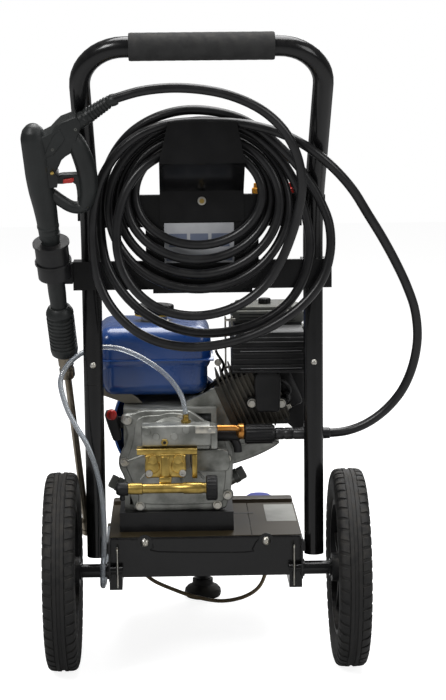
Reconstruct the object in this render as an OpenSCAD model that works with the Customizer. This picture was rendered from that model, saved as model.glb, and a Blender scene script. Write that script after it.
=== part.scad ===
// Petrol pressure washer on a two-wheeled trolley.
// X runs across the trolley, +Y from the operator's side towards the front foot, +Z up.
// The origin is the middle of the front foot's sole, on the ground.

/* [Trolley] */
// Height of the handle bar's centre line above the ground
handle_h = 949; // [900:1:1100]
// Distance between the centre lines of the two uprights
upright_gap = 336; // [330:1:370]
// Distance between the middles of the two wheels
track = 440; // [438:1:500]
// Distance from the wheel axle to the front foot
foot_reach = 400; // [398:1:460]
// Outside diameter of the frame tube
tube_d = 30; // [26:0.5:32]
// Wall of the frame tube
tube_wall = 2; // [1.2:0.1:3]
// Height of the uprights' lower ends
upright_foot_z = 172; // [168:1:180]
// Height of the joint between the uprights and the handle
handle_joint_z = 440; // [420:1:460]

/* [Handle] */
// Height at which the handle's legs bend back
handle_bend_z = 700; // [695:1:705]
// How far the handle leans back from upright, in degrees
handle_lean = 35; // [28:0.5:38]
// How much each leg spreads sideways above its bend
handle_flare = 8; // [0:0.5:12]
// Centre-line radius of the lower bends
lean_radius = 180; // [150:1:190]
// Centre-line radius of the upper corners
corner_radius = 65; // [50:1:75]
// Outside diameter of the foam grip
grip_d = 40; // [36:0.5:46]
// Length of the foam grip
grip_len = 206; // [150:1:210]

/* [Wheels] */
// Outside diameter of the tyres
wheel_d = 305; // [290:1:310]
// Width of the tyres
tyre_w = 49; // [42:0.5:52]
// Diameter of the rims
rim_d = 208; // [190:1:215]
// Diameter of the stub axles
axle_d = 12; // [10:0.5:14]
// Diameter of the wheel hubs
hub_d = 44; // [36:1:50]
// Radial gap between a stub axle and its wheel
axle_gap = 0.05; // [0.02:0.01:0.1]

/* [Base] */
// Height of the base tray's top
tray_top = 201; // [196:1:206]
// Depth of the base tray's skirt
tray_skirt = 63; // [60:1:66]
// Thickness of the pressed sheet
sheet = 2.5; // [1.5:0.1:3]
// Width and height of the support rails
rail = 20; // [16:1:22]
// Diameter of the rubber foot
foot_d = 64; // [50:1:70]
// Height of the rubber foot
foot_h = 33; // [30:1:40]

/* [Engine] */
// Sideways place of the crankshaft
crank_x = -50; // [-54:1:-46]
// Height of the crankshaft above the engine's feet
crank_h = 106; // [104:1:110]
// Height of the engine mount
mount_h = 31; // [28:1:32]
// Angle of the cylinder above level, in degrees
cylinder_tilt = 24; // [22:0.5:26]
// Bore of the cylinder
bore_d = 68; // [60:1:70]
// Piston stroke
stroke = 54; // [46:1:54]
// Diameter of the flywheel
flywheel_d = 166; // [150:1:170]
// Diameter of the crankshaft
crank_d = 22; // [18:0.5:24]
// Radial gap of the crankshaft in its bearings
shaft_gap = 0.05; // [0.02:0.01:0.1]

/* [Water] */
// Outside diameter of the high-pressure hose
hose_d = 14; // [12:0.5:14]
// Outside diameter of the clear detergent tube
clear_tube_d = 8; // [6:0.5:8]
// Outside diameter of the drain tube
drain_tube_d = 6.5; // [5:0.5:7]
// Bore of the garden-hose spigot
inlet_bore = 11; // [9:0.5:12]
// Diameter of the lance pipe
lance_d = 11; // [10:0.5:12]
// Bore of the quick coupler at the lance's tip
coupler_bore = 11.2; // [10:0.1:12]

/* [Hidden] */
$fn = 48;
fit = 0.15;
tube_r = tube_d / 2;
tube_bore_r = tube_r - tube_wall;
upright_x = upright_gap / 2;
upright_y = 15;
bolt_z = handle_joint_z + 33;
spigot_top_z = handle_joint_z + 60;
axle_z = wheel_d / 2;
axle_r = axle_d / 2;
wheel_x = track / 2;
hub_half = 22;
hub_in_x = wheel_x - 26;
hub_out_x = hub_in_x + 2 * hub_half;

// Base
tray_half = upright_x - tube_r - 3.5;
tray_y0 = 12;
tray_y1 = 240;
tray_low = tray_top - tray_skirt;
tray_lug_y = -13;
rail_z0 = tray_low - rail;
tank_y0 = foot_reach - 150;
tank_y1 = foot_reach + 5;
tank_x = tray_half;
tank_h = 68;
tank_z1 = tray_low + tank_h;

// Handle
top_y = upright_y - (handle_h - handle_bend_z) * tan(handle_lean);
top_x = upright_x + handle_flare;
HANDLE = [[upright_x, upright_y, handle_joint_z], [upright_x, upright_y, handle_bend_z],
          [top_x, top_y, handle_h], [-top_x, top_y, handle_h],
          [-upright_x, upright_y, handle_bend_z], [-upright_x, upright_y, handle_joint_z]];
HANDLE_R = [0, lean_radius, corner_radius, corner_radius, lean_radius, 0];

// Panel
panel_y = -6;
panel_t = 10;
panel_top = 730;
panel_low = 588;
clamp_h = 43;
clamp_x = upright_x + tube_r + 12;
arm_low = 682;
hook_half = 63;
hook_lip_y = -70.5;
nozzle_x = [-143, -108, 83, 108.5, 134];
nozzle_y = 3;
nozzle_stem_r = 5.5;

// Gun, in a frame of its own whose Z runs up along the lance
gun_seat = [-(upright_x + 55), -36, 640];
gun_lean = 24.2;
gun_tilt = 4.1;
barrel_r = 13.5;
holder_r = 25;
trigger_pin = [20, 132];
lock_pin = [31, 130];
lance_r = lance_d / 2;
pipe_top = -212;
pipe_end = -516;
grip_top = -83;
grip_end = -169;
coupler_r = 9;

// Engine
engine_z = tray_top + mount_h;
crank_z = engine_z + crank_h;
cover_y = 55;
cover_t = 15;
case_y1 = 215;
case_x0 = -125;
case_x1 = 20;
case_top = engine_z + 160;
wall = 8;
bore_y = 140;
bore_r = bore_d / 2;
crank_r = crank_d / 2;
throw = stroke / 2;
block_start = 40;
barrel_start = 95;
barrel_end = 150;
head_end = 185;
cap_end = 214;
piston_len = 44;
piston_low = throw + 17;
fly_y0 = 226;
fly_t = 26;
recoil_r = flywheel_d / 2 + 14;
recoil_y0 = case_y1 + 3;
recoil_y1 = recoil_y0 + 54;
fuel_low = 405;
fuel_top = 515;
fuel_cap_at = [-76, 200];
fuel_x0 = -168;
fuel_x1 = 14;

// Pump and water
pump_bore_r = 27;
inlet_z = engine_z + 55;
inlet_y = -30;
inlet_r = 9;
inlet_gap = 0.05;
outlet_y = 44;
outlet_z = 355;
nut_x0 = 63;
nut_x1 = 110;
sleeve_x1 = 196;
sleeve_r = 9.5;
hose_r = hose_d / 2;

// Route of the high-pressure hose from the pump, over the hook, to the coil
HOSE_IN = [[196, 44, 355], [226, 43, 359], [256, 40, 372], [284, 37, 394], [307, 32, 424],
    [322, 26, 462], [328, 18, 505], [323, 8, 549], [309, -5, 588], [291, -18, 625], [269, -35, 664],
    [245, -50, 702], [222, -64, 738], [195, -76, 769], [165, -83, 795], [135, -80, 814],
    [100, -71, 828], [60, -64, 837], [20, -58, 840], [-20, -57, 840], [-58, -57, 835],
    [-93, -56, 821], [-121, -55, 799], [-141, -54, 772], [-153, -52, 745], [-161, -48, 708],
    [-163, -44, 662], [-157, -42, 612], [-139, -42, 570], [-108, -42, 535], [-70, -42, 514],
    [-25, -42, 505], [24, -42, 508], [70, -42, 520], [112, -42, 540], [149, -41, 567],
    [177, -40, 602], [190, -39, 643], [189, -39, 685], [176, -42, 720], [158, -47, 752],
    [133, -50, 784], [98, -50, 818], [60, -50, 843], [18, -48, 855], [-25, -46, 857],
    [-66, -42, 847], [-102, -36, 826], [-128, -29, 796], [-144, -25, 760], [-151, -24, 718],
    [-151, -24, 672], [-143, -25, 628], [-122, -26, 589], [-92, -26, 558], [-54, -26, 536],
    [-8, -26, 524], [42, -26, 526], [90, -26, 541], [127, -26, 567], [151, -26, 605],
    [161, -26, 648], [156, -27, 692], [145, -30, 732], [128, -34, 767], [106, -37, 796],
    [74, -39, 822], [38, -40, 836], [-2, -40, 841]];
// Route of the hose from the coil to the gun
HOSE_OUT = [[-2, -40, 803], [-45, -48, 797], [-84, -55, 776], [-110, -58, 744], [-124, -58, 704],
    [-127, -58, 662], [-119, -58, 624], [-99, -58, 591], [-69, -58, 567], [-30, -58, 555],
    [12, -59, 556], [54, -60, 570], [90, -62, 597], [113, -66, 631], [129, -72, 669],
    [140, -80, 708], [145, -90, 748], [138, -100, 790], [119, -110, 827], [89, -118, 856],
    [50, -125, 876], [8, -131, 887], [-40, -137, 891], [-86, -140, 887], [-127, -140, 876]];
// Route of the clear detergent tube
CLEAR = [[-28, 20, 392], [-31, 22, 409], [-36, 26, 423], [-50, 32, 443], [-71, 38, 462],
    [-100, 43, 480], [-129, 47, 491], [-156, 45, 494], [-178, 31, 491], [-197, 11, 482],
    [-210, -1, 469], [-217, -7, 453], [-216, -11, 436], [-207, -13, 406], [-194, -14, 380],
    [-181, -13, 357], [-171, -13, 332], [-164, -13, 307], [-159, -14, 282], [-156, -15, 254],
    [-155, -17, 222], [-156, -20, 190], [-158, -23, 162], [-159, -18, 139], [-159, 0, 128],
    [-158, 30, 125], [-158, 75, 128], [-157, 130, 136], [-156, 190, 147], [-156, 235, 155],
    [-156, 258, 158]];
// Route of the drain tube below the base
DRAIN = [[-112, 265, 138], [-112, 265, 116], [-107, 262, 92], [-87, 258, 69], [-44, 256, 49],
    [-8, 255, 37], [30, 255, 31], [66, 256, 37], [91, 258, 52], [103, 262, 74], [108, 265, 100],
    [108, 265, 138]];
coil_turns = 4;
coil_c = -2;

// ---- Helpers ----

// Puts a piece drawn about the axle's ground point at the foot's origin
module place() { translate([0, -foot_reach, 0]) children(); }

// A box given by its two corners
module block(a, b) { translate(a) cube(b - a); }

// A round bar from p to q
module bar(p, q, r) {
    v = q - p;
    translate(p) rotate([0, acos(v[2] / norm(v)), atan2(v[1], v[0])]) cylinder(r = r, h = norm(v));
}

function unit(v) = v / norm(v);
function turn(a, i) = acos(unit(a[i] - a[i - 1]) * unit(a[i + 1] - a[i]));
function setback(a, r, i) = r[i] == 0 ? 0 : r[i] * tan(turn(a, i) / 2);

// Points along a, with bend i rounded to the centre-line radius r[i] in short straight steps
function rounded(a, r, steps = 4) = [for (i = [0 : len(a) - 1])
    if (r[i] == 0) a[i] else
    let (u = unit(a[i] - a[i - 1]), v = unit(a[i + 1] - a[i]), w = unit(v - (u * v) * u),
         c = a[i] - u * setback(a, r, i) + w * r[i])
    for (k = [0 : steps]) c + r[i] * (sin(turn(a, i) * k / steps) * u - cos(turn(a, i) * k / steps) * w)];

// A round bar of radius d bent along the points a, with bend radii r
module bent_bar(a, r, d) {
    $fn = 36;
    p = rounded(a, r);
    for (i = [0 : len(p) - 2]) bar(p[i], p[i + 1], d);
    for (i = [1 : len(p) - 2]) translate(p[i]) sphere(r = d + 0.04);
}

// Mirrored copies on the left and the right
module both_sides() { for (s = [0, 1]) mirror([s, 0, 0]) children(); }

// Direction of the route at point i
function along(p, i) = unit(p[min(i + 1, len(p) - 1)] - p[max(i - 1, 0)]);
// A direction square to d that starts a ring of corners
function first_side(d) = unit(cross(d, abs(d[1]) < 0.9 ? [0, 1, 0] : [1, 0, 0]));
// One such direction at every point of the route, carried along without a twist
function sides(p) = [for (i = 0, s = first_side(along(p, 0)); i < len(p);
    i = i + 1, s = i < len(p) ? unit(s - (s * along(p, i)) * along(p, i)) : s) s];

// A tube swept along the points p: one ring of n corners at each point
module swept(p, r, n = 10) {
    m = len(p);
    s = sides(p);
    ring = [for (i = [0 : m - 1]) let (w = cross(along(p, i), s[i]))
        for (k = [0 : n - 1]) p[i] + r * (cos(360 * k / n) * s[i] + sin(360 * k / n) * w)];
    skin = [for (i = [0 : m - 2]) for (k = [0 : n - 1])
        [i * n + k, (i + 1) * n + k, (i + 1) * n + (k + 1) % n, i * n + (k + 1) % n]];
    ends = [[for (k = [0 : n - 1]) k], [for (k = [n - 1 : -1 : 0]) (m - 1) * n + k]];
    polyhedron(points = ring, faces = concat(skin, ends), convexity = 10);
}

// Puts a piece in the gun's own frame
module gun_frame() { translate(gun_seat) rotate([gun_lean, -gun_tilt, 0]) children(); }

// Puts a piece on the cylinder's axis, with Z running out along it
module cylinder_frame() {
    translate([crank_x, bore_y, crank_z]) rotate([0, 90 - cylinder_tilt, 0]) children();
}

// A bar along Y from y0 to y1
module y_bar(x, z, y0, y1, r) { translate([x, y1, z]) rotate([90, 0, 0]) cylinder(r = r, h = y1 - y0); }

// A bar along X from x0 to x1
module x_bar(x0, x1, y, z, r) { translate([x0, y, z]) rotate([0, 90, 0]) cylinder(r = r, h = x1 - x0); }

// A plate in the X-Z plane between y0 and y1
module xz_plate(points, y0, y1) {
    translate([0, y1, 0]) rotate([90, 0, 0]) linear_extrude(y1 - y0) polygon(points);
}

// ---- Frame ----

module base_tray() {
    color("#151515") {
        difference() {
            union() {
                block([-tray_half, tray_y0, tray_low], [tray_half, tray_y0 + sheet, tray_top]);
                block([-tray_half, tray_y0, tray_top - sheet], [tray_half, tray_y1, tray_top]);
                both_sides() block([tray_half - sheet, tray_lug_y, tray_low], [tray_half, tray_y1, tray_top]);
                both_sides() block([tray_half, upright_y - 6, 176], [upright_x, upright_y + 6, 192]);
                both_sides() y_bar(94, 193, tray_y0 - 2, tray_y0, 12);
            }
            x_bar(-tray_half - 1, tray_half + 1, 0, axle_z, axle_r + fit);
            both_sides() translate([upright_x, upright_y, 100]) cylinder(r = tube_r, h = 200);
            both_sides() y_bar(94, 193, tray_y0 - 3, tray_y0 + sheet + 1, 4.1);
        }
    }
}

module support_rails() {
    color("#151515") {
        both_sides() block([tray_half - rail, tray_y0, rail_z0], [tray_half, foot_reach - 10, tray_low]);
        block([-tray_half, foot_reach - 10, rail_z0], [tray_half, foot_reach + 10, tray_low]);
        translate([0, foot_reach, foot_h]) cylinder(r = 14, h = rail_z0 - foot_h);
    }
}

module front_foot() {
    color("#1a1a1a") translate([0, foot_reach, 0]) rotate_extrude()
        polygon([[0, 0], [foot_d / 2 - 6, 0], [foot_d / 2 - 1.5, 3], [foot_d / 2, 9], [foot_d / 2 - 1, 15],
                 [foot_d / 2 - 6, 20], [foot_d / 2 - 14, 24], [18, 27], [18, foot_h], [0, foot_h]]);
}

module upright(x) {
    color("#101010") difference() {
        union() {
            translate([x, upright_y, upright_foot_z])
                cylinder(r = tube_r, h = handle_joint_z - upright_foot_z);
            translate([x, upright_y, handle_joint_z])
                cylinder(r = tube_bore_r - fit, h = spigot_top_z - handle_joint_z);
        }
        translate([x, upright_y, upright_foot_z + 3])
            cylinder(r = tube_bore_r - fit - 2, h = spigot_top_z);
        y_bar(x, bolt_z, upright_y - tube_d, upright_y + tube_d, 3 + fit);
    }
}

module left_upright() { upright(-upright_x); }
module right_upright() { upright(upright_x); }

module handle_tube() {
    color("#101010") difference() {
        bent_bar(HANDLE, HANDLE_R, tube_r);
        both_sides() translate([upright_x, upright_y, handle_joint_z - 1])
            cylinder(r = tube_bore_r, h = spigot_top_z - handle_joint_z + 5);
        both_sides() y_bar(upright_x, bolt_z, upright_y - tube_d, upright_y + tube_d, 3 + fit);
    }
}

module handle_grip() {
    color("#262626") difference() {
        x_bar(-grip_len / 2, grip_len / 2, top_y, handle_h, grip_d / 2);
        x_bar(-grip_len, grip_len, top_y, handle_h, tube_r + fit);
    }
}

module cross_panel() {
    arm = upright_x - tube_r - 3;
    color("#121212") difference() {
        union() {
            xz_plate([[-75, panel_low - 6], [75, panel_low - 6], [75, panel_low], [arm, panel_low],
                      [arm, panel_low + clamp_h], [85, panel_low + clamp_h], [85, arm_low], [arm, arm_low],
                      [arm, panel_top], [-arm, panel_top], [-arm, arm_low], [-85, arm_low],
                      [-85, panel_low + clamp_h], [-arm, panel_low + clamp_h], [-arm, panel_low],
                      [-75, panel_low]], panel_y, panel_y + panel_t);
            both_sides() block([60, panel_y + panel_t, 704], [arm, panel_y + 18, panel_top]);
            both_sides() block([arm, panel_y, panel_low], [clamp_x, 36, panel_low + clamp_h]);
            both_sides() block([arm - 5, panel_y + panel_t, arm_low + 6], [arm, 32, panel_top]);
            both_sides() block([arm, 28, arm_low + 8], [upright_x + tube_r + 5, 32, panel_top - 4]);
        }
        both_sides() translate([upright_x, upright_y, panel_low - 5]) cylinder(r = tube_r + fit, h = 60);
        for (x = nozzle_x) translate([x, nozzle_y, 705]) cylinder(r = nozzle_stem_r + 0.1, h = 40);
        y_bar(0, 721, -20, 20, 3.1);
    }
}

module hose_hook() {
    y1 = panel_y;
    color("#0e0e0e") difference() {
        union() {
            block([-hook_half, y1 - 3, 690], [hook_half, y1, 742]);
            translate([-hook_half, 0, 0]) rotate([90, 0, 90]) linear_extrude(2 * hook_half)
                polygon([[y1, 739], [y1, 742], [hook_lip_y - 4, 784], [hook_lip_y - 4, 780],
                         [hook_lip_y, 778], [y1 - 3, 736]]);
            xz_plate([[-hook_half, 782], [hook_half, 782], [51, 841], [-49, 841]],
                     hook_lip_y - 4, hook_lip_y);
        }
        y_bar(0, 721, -20, 20, 3.1);
    }
}

module gun_holder() {
        color("#151515") difference() {
        union() {
            gun_frame() {
                translate([0, 0, -30]) cylinder(r = holder_r, h = 58);
                translate([0, 0, -6]) cylinder(r = holder_r + 2.5, h = 3);
                translate([0, 0, 25]) cylinder(r = holder_r + 2.5, h = 3);
            }
            block([gun_seat[0] + 4, -24, 600], [-clamp_x, 10, 630]);
        }
        gun_frame() translate([0, 0, -60]) cylinder(r = barrel_r + 0.4, h = 120);
    }
}

module bolts() {
    color("silver") {
        both_sides() {
            y_bar(upright_x, bolt_z, upright_y - tube_r - 1, upright_y + tube_r + 4, 3);
            y_bar(upright_x, bolt_z, upright_y - tube_r - 4, upright_y - tube_r - 0.4, 5.5);
            y_bar(94, 193, tray_y0 - 4, tray_y0 + sheet + 8, 4);
            y_bar(94, 193, tray_y0 - 7, tray_y0 - 2, 7);
        }
        y_bar(0, 721, panel_y - 3, panel_y + panel_t + 3, 3);
        y_bar(0, 721, panel_y - 6, panel_y - 3, 5.5);
    }
}

// A quick-change spray nozzle, pushed down into its hole in the panel
module nozzle(i, shade) {
    color(shade) translate([nozzle_x[i], nozzle_y, 0]) {
        translate([0, 0, 708]) cylinder(r = nozzle_stem_r, h = 23);
        translate([0, 0, 730.4]) cylinder(r = 7.5, h = 9);
        translate([0, 0, 739]) cylinder(r = 5, h = 7);
    }
}

module soap_nozzle() { nozzle(0, "#202020"); }
module green_nozzle() { nozzle(1, "#2f8f3a"); }
module yellow_nozzle() { nozzle(2, "#f0a020"); }
module white_nozzle() { nozzle(3, "#e8e8e8"); }
module red_nozzle() { nozzle(4, "#c02a1c"); }

// ---- Wheels ----

// Puts a wheel piece, drawn round the Z axis, on the left or right hub
module on_hub(s) { translate([s * wheel_x, 0, axle_z]) rotate([0, 90, 0]) children(); }

module tyre(s) {
    r = wheel_d / 2;
    w = tyre_w / 2;
    color("#1b1b1b") on_hub(s) rotate_extrude()
        polygon([[rim_d / 2, -w + 4], [rim_d / 2 + 8, -w + 1.5], [r - 18, -w], [r - 6, -w + 1.5],
                 [r - 1.5, -w + 6], [r, -w + 11], [r, -3], [r - 3, -2], [r - 3, 2], [r, 3],
                 [r, w - 11], [r - 1.5, w - 6], [r - 6, w - 1.5], [r - 18, w],
                 [rim_d / 2 + 8, w - 1.5], [rim_d / 2, w - 4]]);
}

module rim(s) {
    spokes = 10;
    rim_w = tyre_w - 9;
    color("#1f1f1f") on_hub(s) difference() {
        union() {
            difference() {
                translate([0, 0, -rim_w / 2]) cylinder(r = rim_d / 2, h = rim_w);
                translate([0, 0, -rim_w]) cylinder(r = rim_d / 2 - 7, h = 2 * rim_w);
            }
            translate([0, 0, s * (hub_in_x - wheel_x) + (s < 0 ? -2 * hub_half : 0)])
                cylinder(r = hub_d / 2, h = 2 * hub_half);
            translate([0, 0, -2.5]) cylinder(r = rim_d / 2 - 5, h = 5);
            for (k = [0 : spokes - 1]) rotate([0, 0, 360 * k / spokes])
                translate([hub_d / 2 - 3, -3, -14]) cube([rim_d / 2 - hub_d / 2, 6, 28]);
        }
        translate([0, 0, -60]) cylinder(r = axle_r + axle_gap, h = 120);
    }
}

module left_tyre() { tyre(-1); }
module right_tyre() { tyre(1); }
module left_rim() { rim(-1); }
module right_rim() { rim(1); }

module stub_axles() {
    tip_x = tray_half - 21;
    color("#2a2a2a") both_sides() difference() {
        union() {
            x_bar(tip_x, hub_out_x + 5, 0, axle_z, axle_r);
            x_bar(tray_half, hub_in_x - 0.4, 0, axle_z, 10.5);
            x_bar(tray_half, tray_half + 2.5, 0, axle_z, 13.5);
            x_bar(hub_in_x - 3, hub_in_x - 0.4, 0, axle_z, 13.5);
            x_bar(hub_out_x + 0.4, hub_out_x + 5, 0, axle_z, 12);
        }
        translate([tip_x + 8, 0, 0]) cylinder(r = 1.7, h = 300);
    }
}

module hairpins() {
    pin_x = tray_half - 13;
    color("silver") both_sides() {
        translate([pin_x, 0, axle_z - 28]) cylinder(r = 1.5, h = 60, $fn = 16);
        translate([pin_x, -9, axle_z - 22]) cylinder(r = 1.5, h = 54, $fn = 16);
        translate([pin_x, -4.5, axle_z + 32]) rotate([0, 0, 90]) rotate([90, 0, 0])
            rotate_extrude(angle = 180) translate([4.5, 0]) circle(r = 1.5, $fn = 16);
    }
}

// ---- Engine ----

module engine_mount() {
    color("#0c0c0c") block([case_x0 - 8, 46, tray_top], [45, case_y1 - 5, engine_z]);
}

module dipstick_frame(s) {
    translate([s < 0 ? case_x0 + 4 : case_x1 - 4, 96, engine_z + 28]) rotate([0, s * 62, 0]) children();
}

module crankcase() {
    color("#8e8f90") difference() {
        union() {
            block([case_x0, cover_y + cover_t, engine_z], [case_x1, case_y1, case_top]);
            cylinder_frame() translate([-46, -50, block_start])
                cube([92, 100, barrel_start - block_start]);
            for (s = [-1, 1]) dipstick_frame(s) cylinder(r = 10, h = s < 0 ? 20 : 44);
        }
        block([case_x0 + wall, cover_y, engine_z + wall], [case_x1 - wall, case_y1 - wall - 2, case_top - wall]);
        cylinder_frame() cylinder(r = bore_r, h = barrel_start + 1);
        y_bar(crank_x, crank_z, case_y1 - 20, case_y1 + 1, crank_r + shaft_gap);
        block([fuel_x0, 100, fuel_low - 1], [fuel_x1 + 6, 300, fuel_top]);
        for (s = [-1, 1]) dipstick_frame(s) translate([0, 0, -12]) cylinder(r = 6 + shaft_gap, h = 70);
    }
}

module dipstick(s) {
    color("#242424") dipstick_frame(s) {
        rise = s < 0 ? 20 : 44;
        translate([0, 0, rise - 22]) cylinder(r = 6, h = 23);
        translate([-8, -8, rise + 0.4]) cube([16, 16, 10]);
    }
}

module left_dipstick() { dipstick(-1); }
module right_dipstick() { dipstick(1); }

module side_cover() {
    x0 = case_x0 - 8;
    x1 = case_x1 + 25;
    color("#a2a4a6") difference() {
        union() {
            xz_plate([[x0 + 30, case_top], [x0, case_top - 30], [x0, engine_z + 60], [x0 + 22, engine_z + 12],
                      [x0 + 22, engine_z], [x1 - 18, engine_z], [x1 - 18, engine_z + 12],
                      [x1, engine_z + 60], [x1, case_top - 50], [x1 - 35, case_top]],
                     cover_y + 5, cover_y + cover_t);
            xz_plate([[x0 + 36, case_top - 7], [x0 + 8, case_top - 34], [x0 + 8, engine_z + 60],
                      [x0 + 30, engine_z + 16], [x1 - 26, engine_z + 16], [x1 - 8, engine_z + 60],
                      [x1 - 8, case_top - 54], [x1 - 40, case_top - 7]], cover_y, cover_y + 5);
        }
        y_bar(crank_x, crank_z, cover_y - 1, cover_y + cover_t + 1, crank_r + shaft_gap);
    }
}

module cylinder_block() {
    fins = 11;
    pitch = 7.6;
    color("#5a5a58") difference() {
        cylinder_frame() {
            translate([-46, -46, barrel_start]) cube([90, 92, head_end - barrel_start]);
            for (k = [0 : fins - 1]) translate([-62, -56, barrel_start + 9 + pitch * k])
                cube([108, 112, 2.4]);
        }
        cylinder_frame() cylinder(r = bore_r, h = barrel_end);
    }
}

module valve_cover() {
    color("#1a1a1a") cylinder_frame() translate([-40, -38, head_end]) cube([76, 76, cap_end - head_end]);
}

module muffler() {
    color("#131313") difference() {
        union() {
            block([45, 60, 446], [167, 82, 500]);
            block([45, 82, 478], [167, 150, 500]);
            block([52, 60, 500], [160, 150, 512]);
            for (k = [0 : 5]) block([45, 56, 449 + 9 * k], [167, 60, 453 + 9 * k]);
            block([81, 60, 385], [120, bore_y - 56, 446]);
        }
        block([49, 64, 482], [163, 146, 497]);
    }
}

module air_cleaner() {
    color("#3a3b38") difference() {
        union() {
            block([46, 165, 480], [166, 285, 506]);
            block([52, 171, 506], [160, 279, 512]);
            block([48, 167, 512], [164, 283, 538]);
        }
        block([56, 175, 484], [156, 275, 530]);
    }
}

module air_cleaner_knob() {
    color("#161616") translate([103, 215, 538.3]) cylinder(r = 10, h = 9);
}

module carburettor() {
    color("#9a9c9e") {
        block([62, bore_y + 56, 425], [108, 245, 462]);
        translate([85, 222, 462]) cylinder(r = 18, h = 18);
    }
}

// A box with every corner rounded, given by its low and high corners
module soft_box(a, b, r) {
    hull() for (x = [a[0] + r, b[0] - r]) for (y = [a[1] + r, b[1] - r]) for (z = [a[2] + r, b[2] - r])
        translate([x, y, z]) sphere(r = r, $fn = 24);
}

module fuel_tank() {
    seam = fuel_top - 53;
    t = 2;
    color("#1d3f8f") difference() {
        union() {
            soft_box([fuel_x0, 105, fuel_low + 33], [fuel_x1, 290, fuel_top], 26);
            soft_box([fuel_x0 + 8, 108, fuel_low], [fuel_x1 - 6, 210, fuel_top - 20], 18);
            block([fuel_x0 - 5, 100, seam], [fuel_x1 + 5, 295, seam + 4]);
            translate([fuel_cap_at[0], fuel_cap_at[1], fuel_top - 4]) cylinder(r = 22, h = 12);
        }
        soft_box([fuel_x0 + t, 105 + t, fuel_low + 33 + t], [fuel_x1 - t, 290 - t, fuel_top - t], 24);
        translate([fuel_cap_at[0], fuel_cap_at[1], fuel_top - 16]) cylinder(r = 18, h = 40);
    }
}

module fuel_cap() {
    color("#17181a") translate([fuel_cap_at[0], fuel_cap_at[1], fuel_top + 8.4]) {
        cylinder(r = 32, h = 17.6);
        translate([0, 0, -14]) cylinder(r = 17.95, h = 15);
    }
}

module recoil_housing() {
    color("#1d3f8f") difference() {
        union() {
            y_bar(crank_x, crank_z, case_y1, recoil_y1, recoil_r);
            y_bar(crank_x, crank_z, recoil_y1 - 1, recoil_y1 + 10, recoil_r - 35);
        }
        y_bar(crank_x, crank_z, case_y1 - 1, recoil_y1 - 3, recoil_r - 3);
        y_bar(crank_x, crank_z, case_y1, recoil_y1 + 7, recoil_r - 38);
    }
}

module recoil_grip() {
    color("#141414") {
        block([crank_x + 22, recoil_y1 + 12, crank_z + 28], [crank_x + 62, recoil_y1 + 24, crank_z + 40]);
        y_bar(crank_x + 42, crank_z + 34, recoil_y1 + 10, recoil_y1 + 12, 5);
    }
}

module flywheel() {
    color("#77797b") difference() {
        union() {
            y_bar(crank_x, crank_z, fly_y0, fly_y0 + fly_t, flywheel_d / 2 - 12);
            for (k = [0 : 15]) translate([crank_x, 0, crank_z]) rotate([0, 360 * k / 16, 0])
                block([flywheel_d / 2 - 14, fly_y0, -2], [flywheel_d / 2, fly_y0 + fly_t, 2]);
        }
        y_bar(crank_x, crank_z, fly_y0 - 1, fly_y0 + fly_t + 1, crank_r);
    }
}

module crankshaft() {
    pin_r = 14;
    web_r = 40;
    color("#8a8d90") {
        y_bar(crank_x, crank_z, 30, 124, crank_r);
        y_bar(crank_x, crank_z, 156, fly_y0 + fly_t + 8, crank_r);
        for (y = [122, 150]) y_bar(crank_x, crank_z, y, y + 8, web_r);
        y_bar(crank_x - throw, crank_z, 128, 152, pin_r);
        difference() {
            y_bar(crank_x, crank_z, 30, 50, 24);
            translate([crank_x, 30, crank_z]) rotate([-14, 0, 0]) block([-40, -30, -40], [40, 0, 40]);
        }
    }
}

module piston() {
    color("#b9bcc0") cylinder_frame() difference() {
        translate([0, 0, piston_low]) cylinder(r = bore_r - shaft_gap, h = piston_len);
        translate([0, 0, piston_low - 1]) cylinder(r = bore_r - 7, h = piston_len - 10);
    }
}

module switch_box() {
    color("#161616") {
        block([case_x0 - 27, 62, engine_z + 113], [case_x0 - 9, 84, engine_z + 163]);
        block([case_x0 - 9, 74, engine_z + 128], [case_x0, 84, engine_z + 148]);
        y_bar(case_x0 - 18, engine_z + 154, 58, 62, 3);
    }
}

module engine_switch() {
    color("#b01c14") difference() {
        union() {
            y_bar(case_x0 - 18, engine_z + 154, 52, 61.6, 8);
            block([case_x0 - 20, 48, engine_z + 147], [case_x0 - 16, 53, engine_z + 161]);
        }
        y_bar(case_x0 - 18, engine_z + 154, 57, 70, 3 + axle_gap);
    }
}

// ---- Pump ----

module pump_body() {
    color("#a5a7a8") difference() {
        union() {
            y_bar(crank_x, crank_z, 14, cover_y, 40);
            block([-97, -5, 345], [11, 30, 379]);
            block([11, -5, 341], [20, 50, 372]);
            block([-22, 14, 302], [38, 40, 337]);
            translate([-28, 20, 378]) cylinder(r = 5, h = 14);
        }
        y_bar(crank_x, crank_z, 26, cover_y + 1, pump_bore_r);
    }
}

module pump_head() {
    color("#b8862b") difference() {
        union() {
            block([-104, -15, 335], [-11, 14, 345]);
            block([-91, -22, 300], [-29, 14, 335]);
            block([-67, -26, 300], [-54, 0, 335]);
            block([-20, -12, 297], [-11, 10, 335]);
            block([-70, -32, 290], [-51, -10, 304]);
        }
        x_bar(-150, 50, inlet_y, inlet_z, inlet_r);
    }
}

module inlet_manifold() {
    color("#c69a3c") {
        x_bar(-117, 12, inlet_y, inlet_z, inlet_r);
        x_bar(-136, -117, inlet_y, inlet_z, inlet_r + 1.5);
    }
}

module hose_connector() {
    color("#1a1a1a") difference() {
        x_bar(1, 18.5, inlet_y, inlet_z, 19.5);
        x_bar(0, 12.4, inlet_y, inlet_z, inlet_r + inlet_gap);
        x_bar(12, 20, inlet_y, inlet_z, inlet_bore);
    }
}

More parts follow.
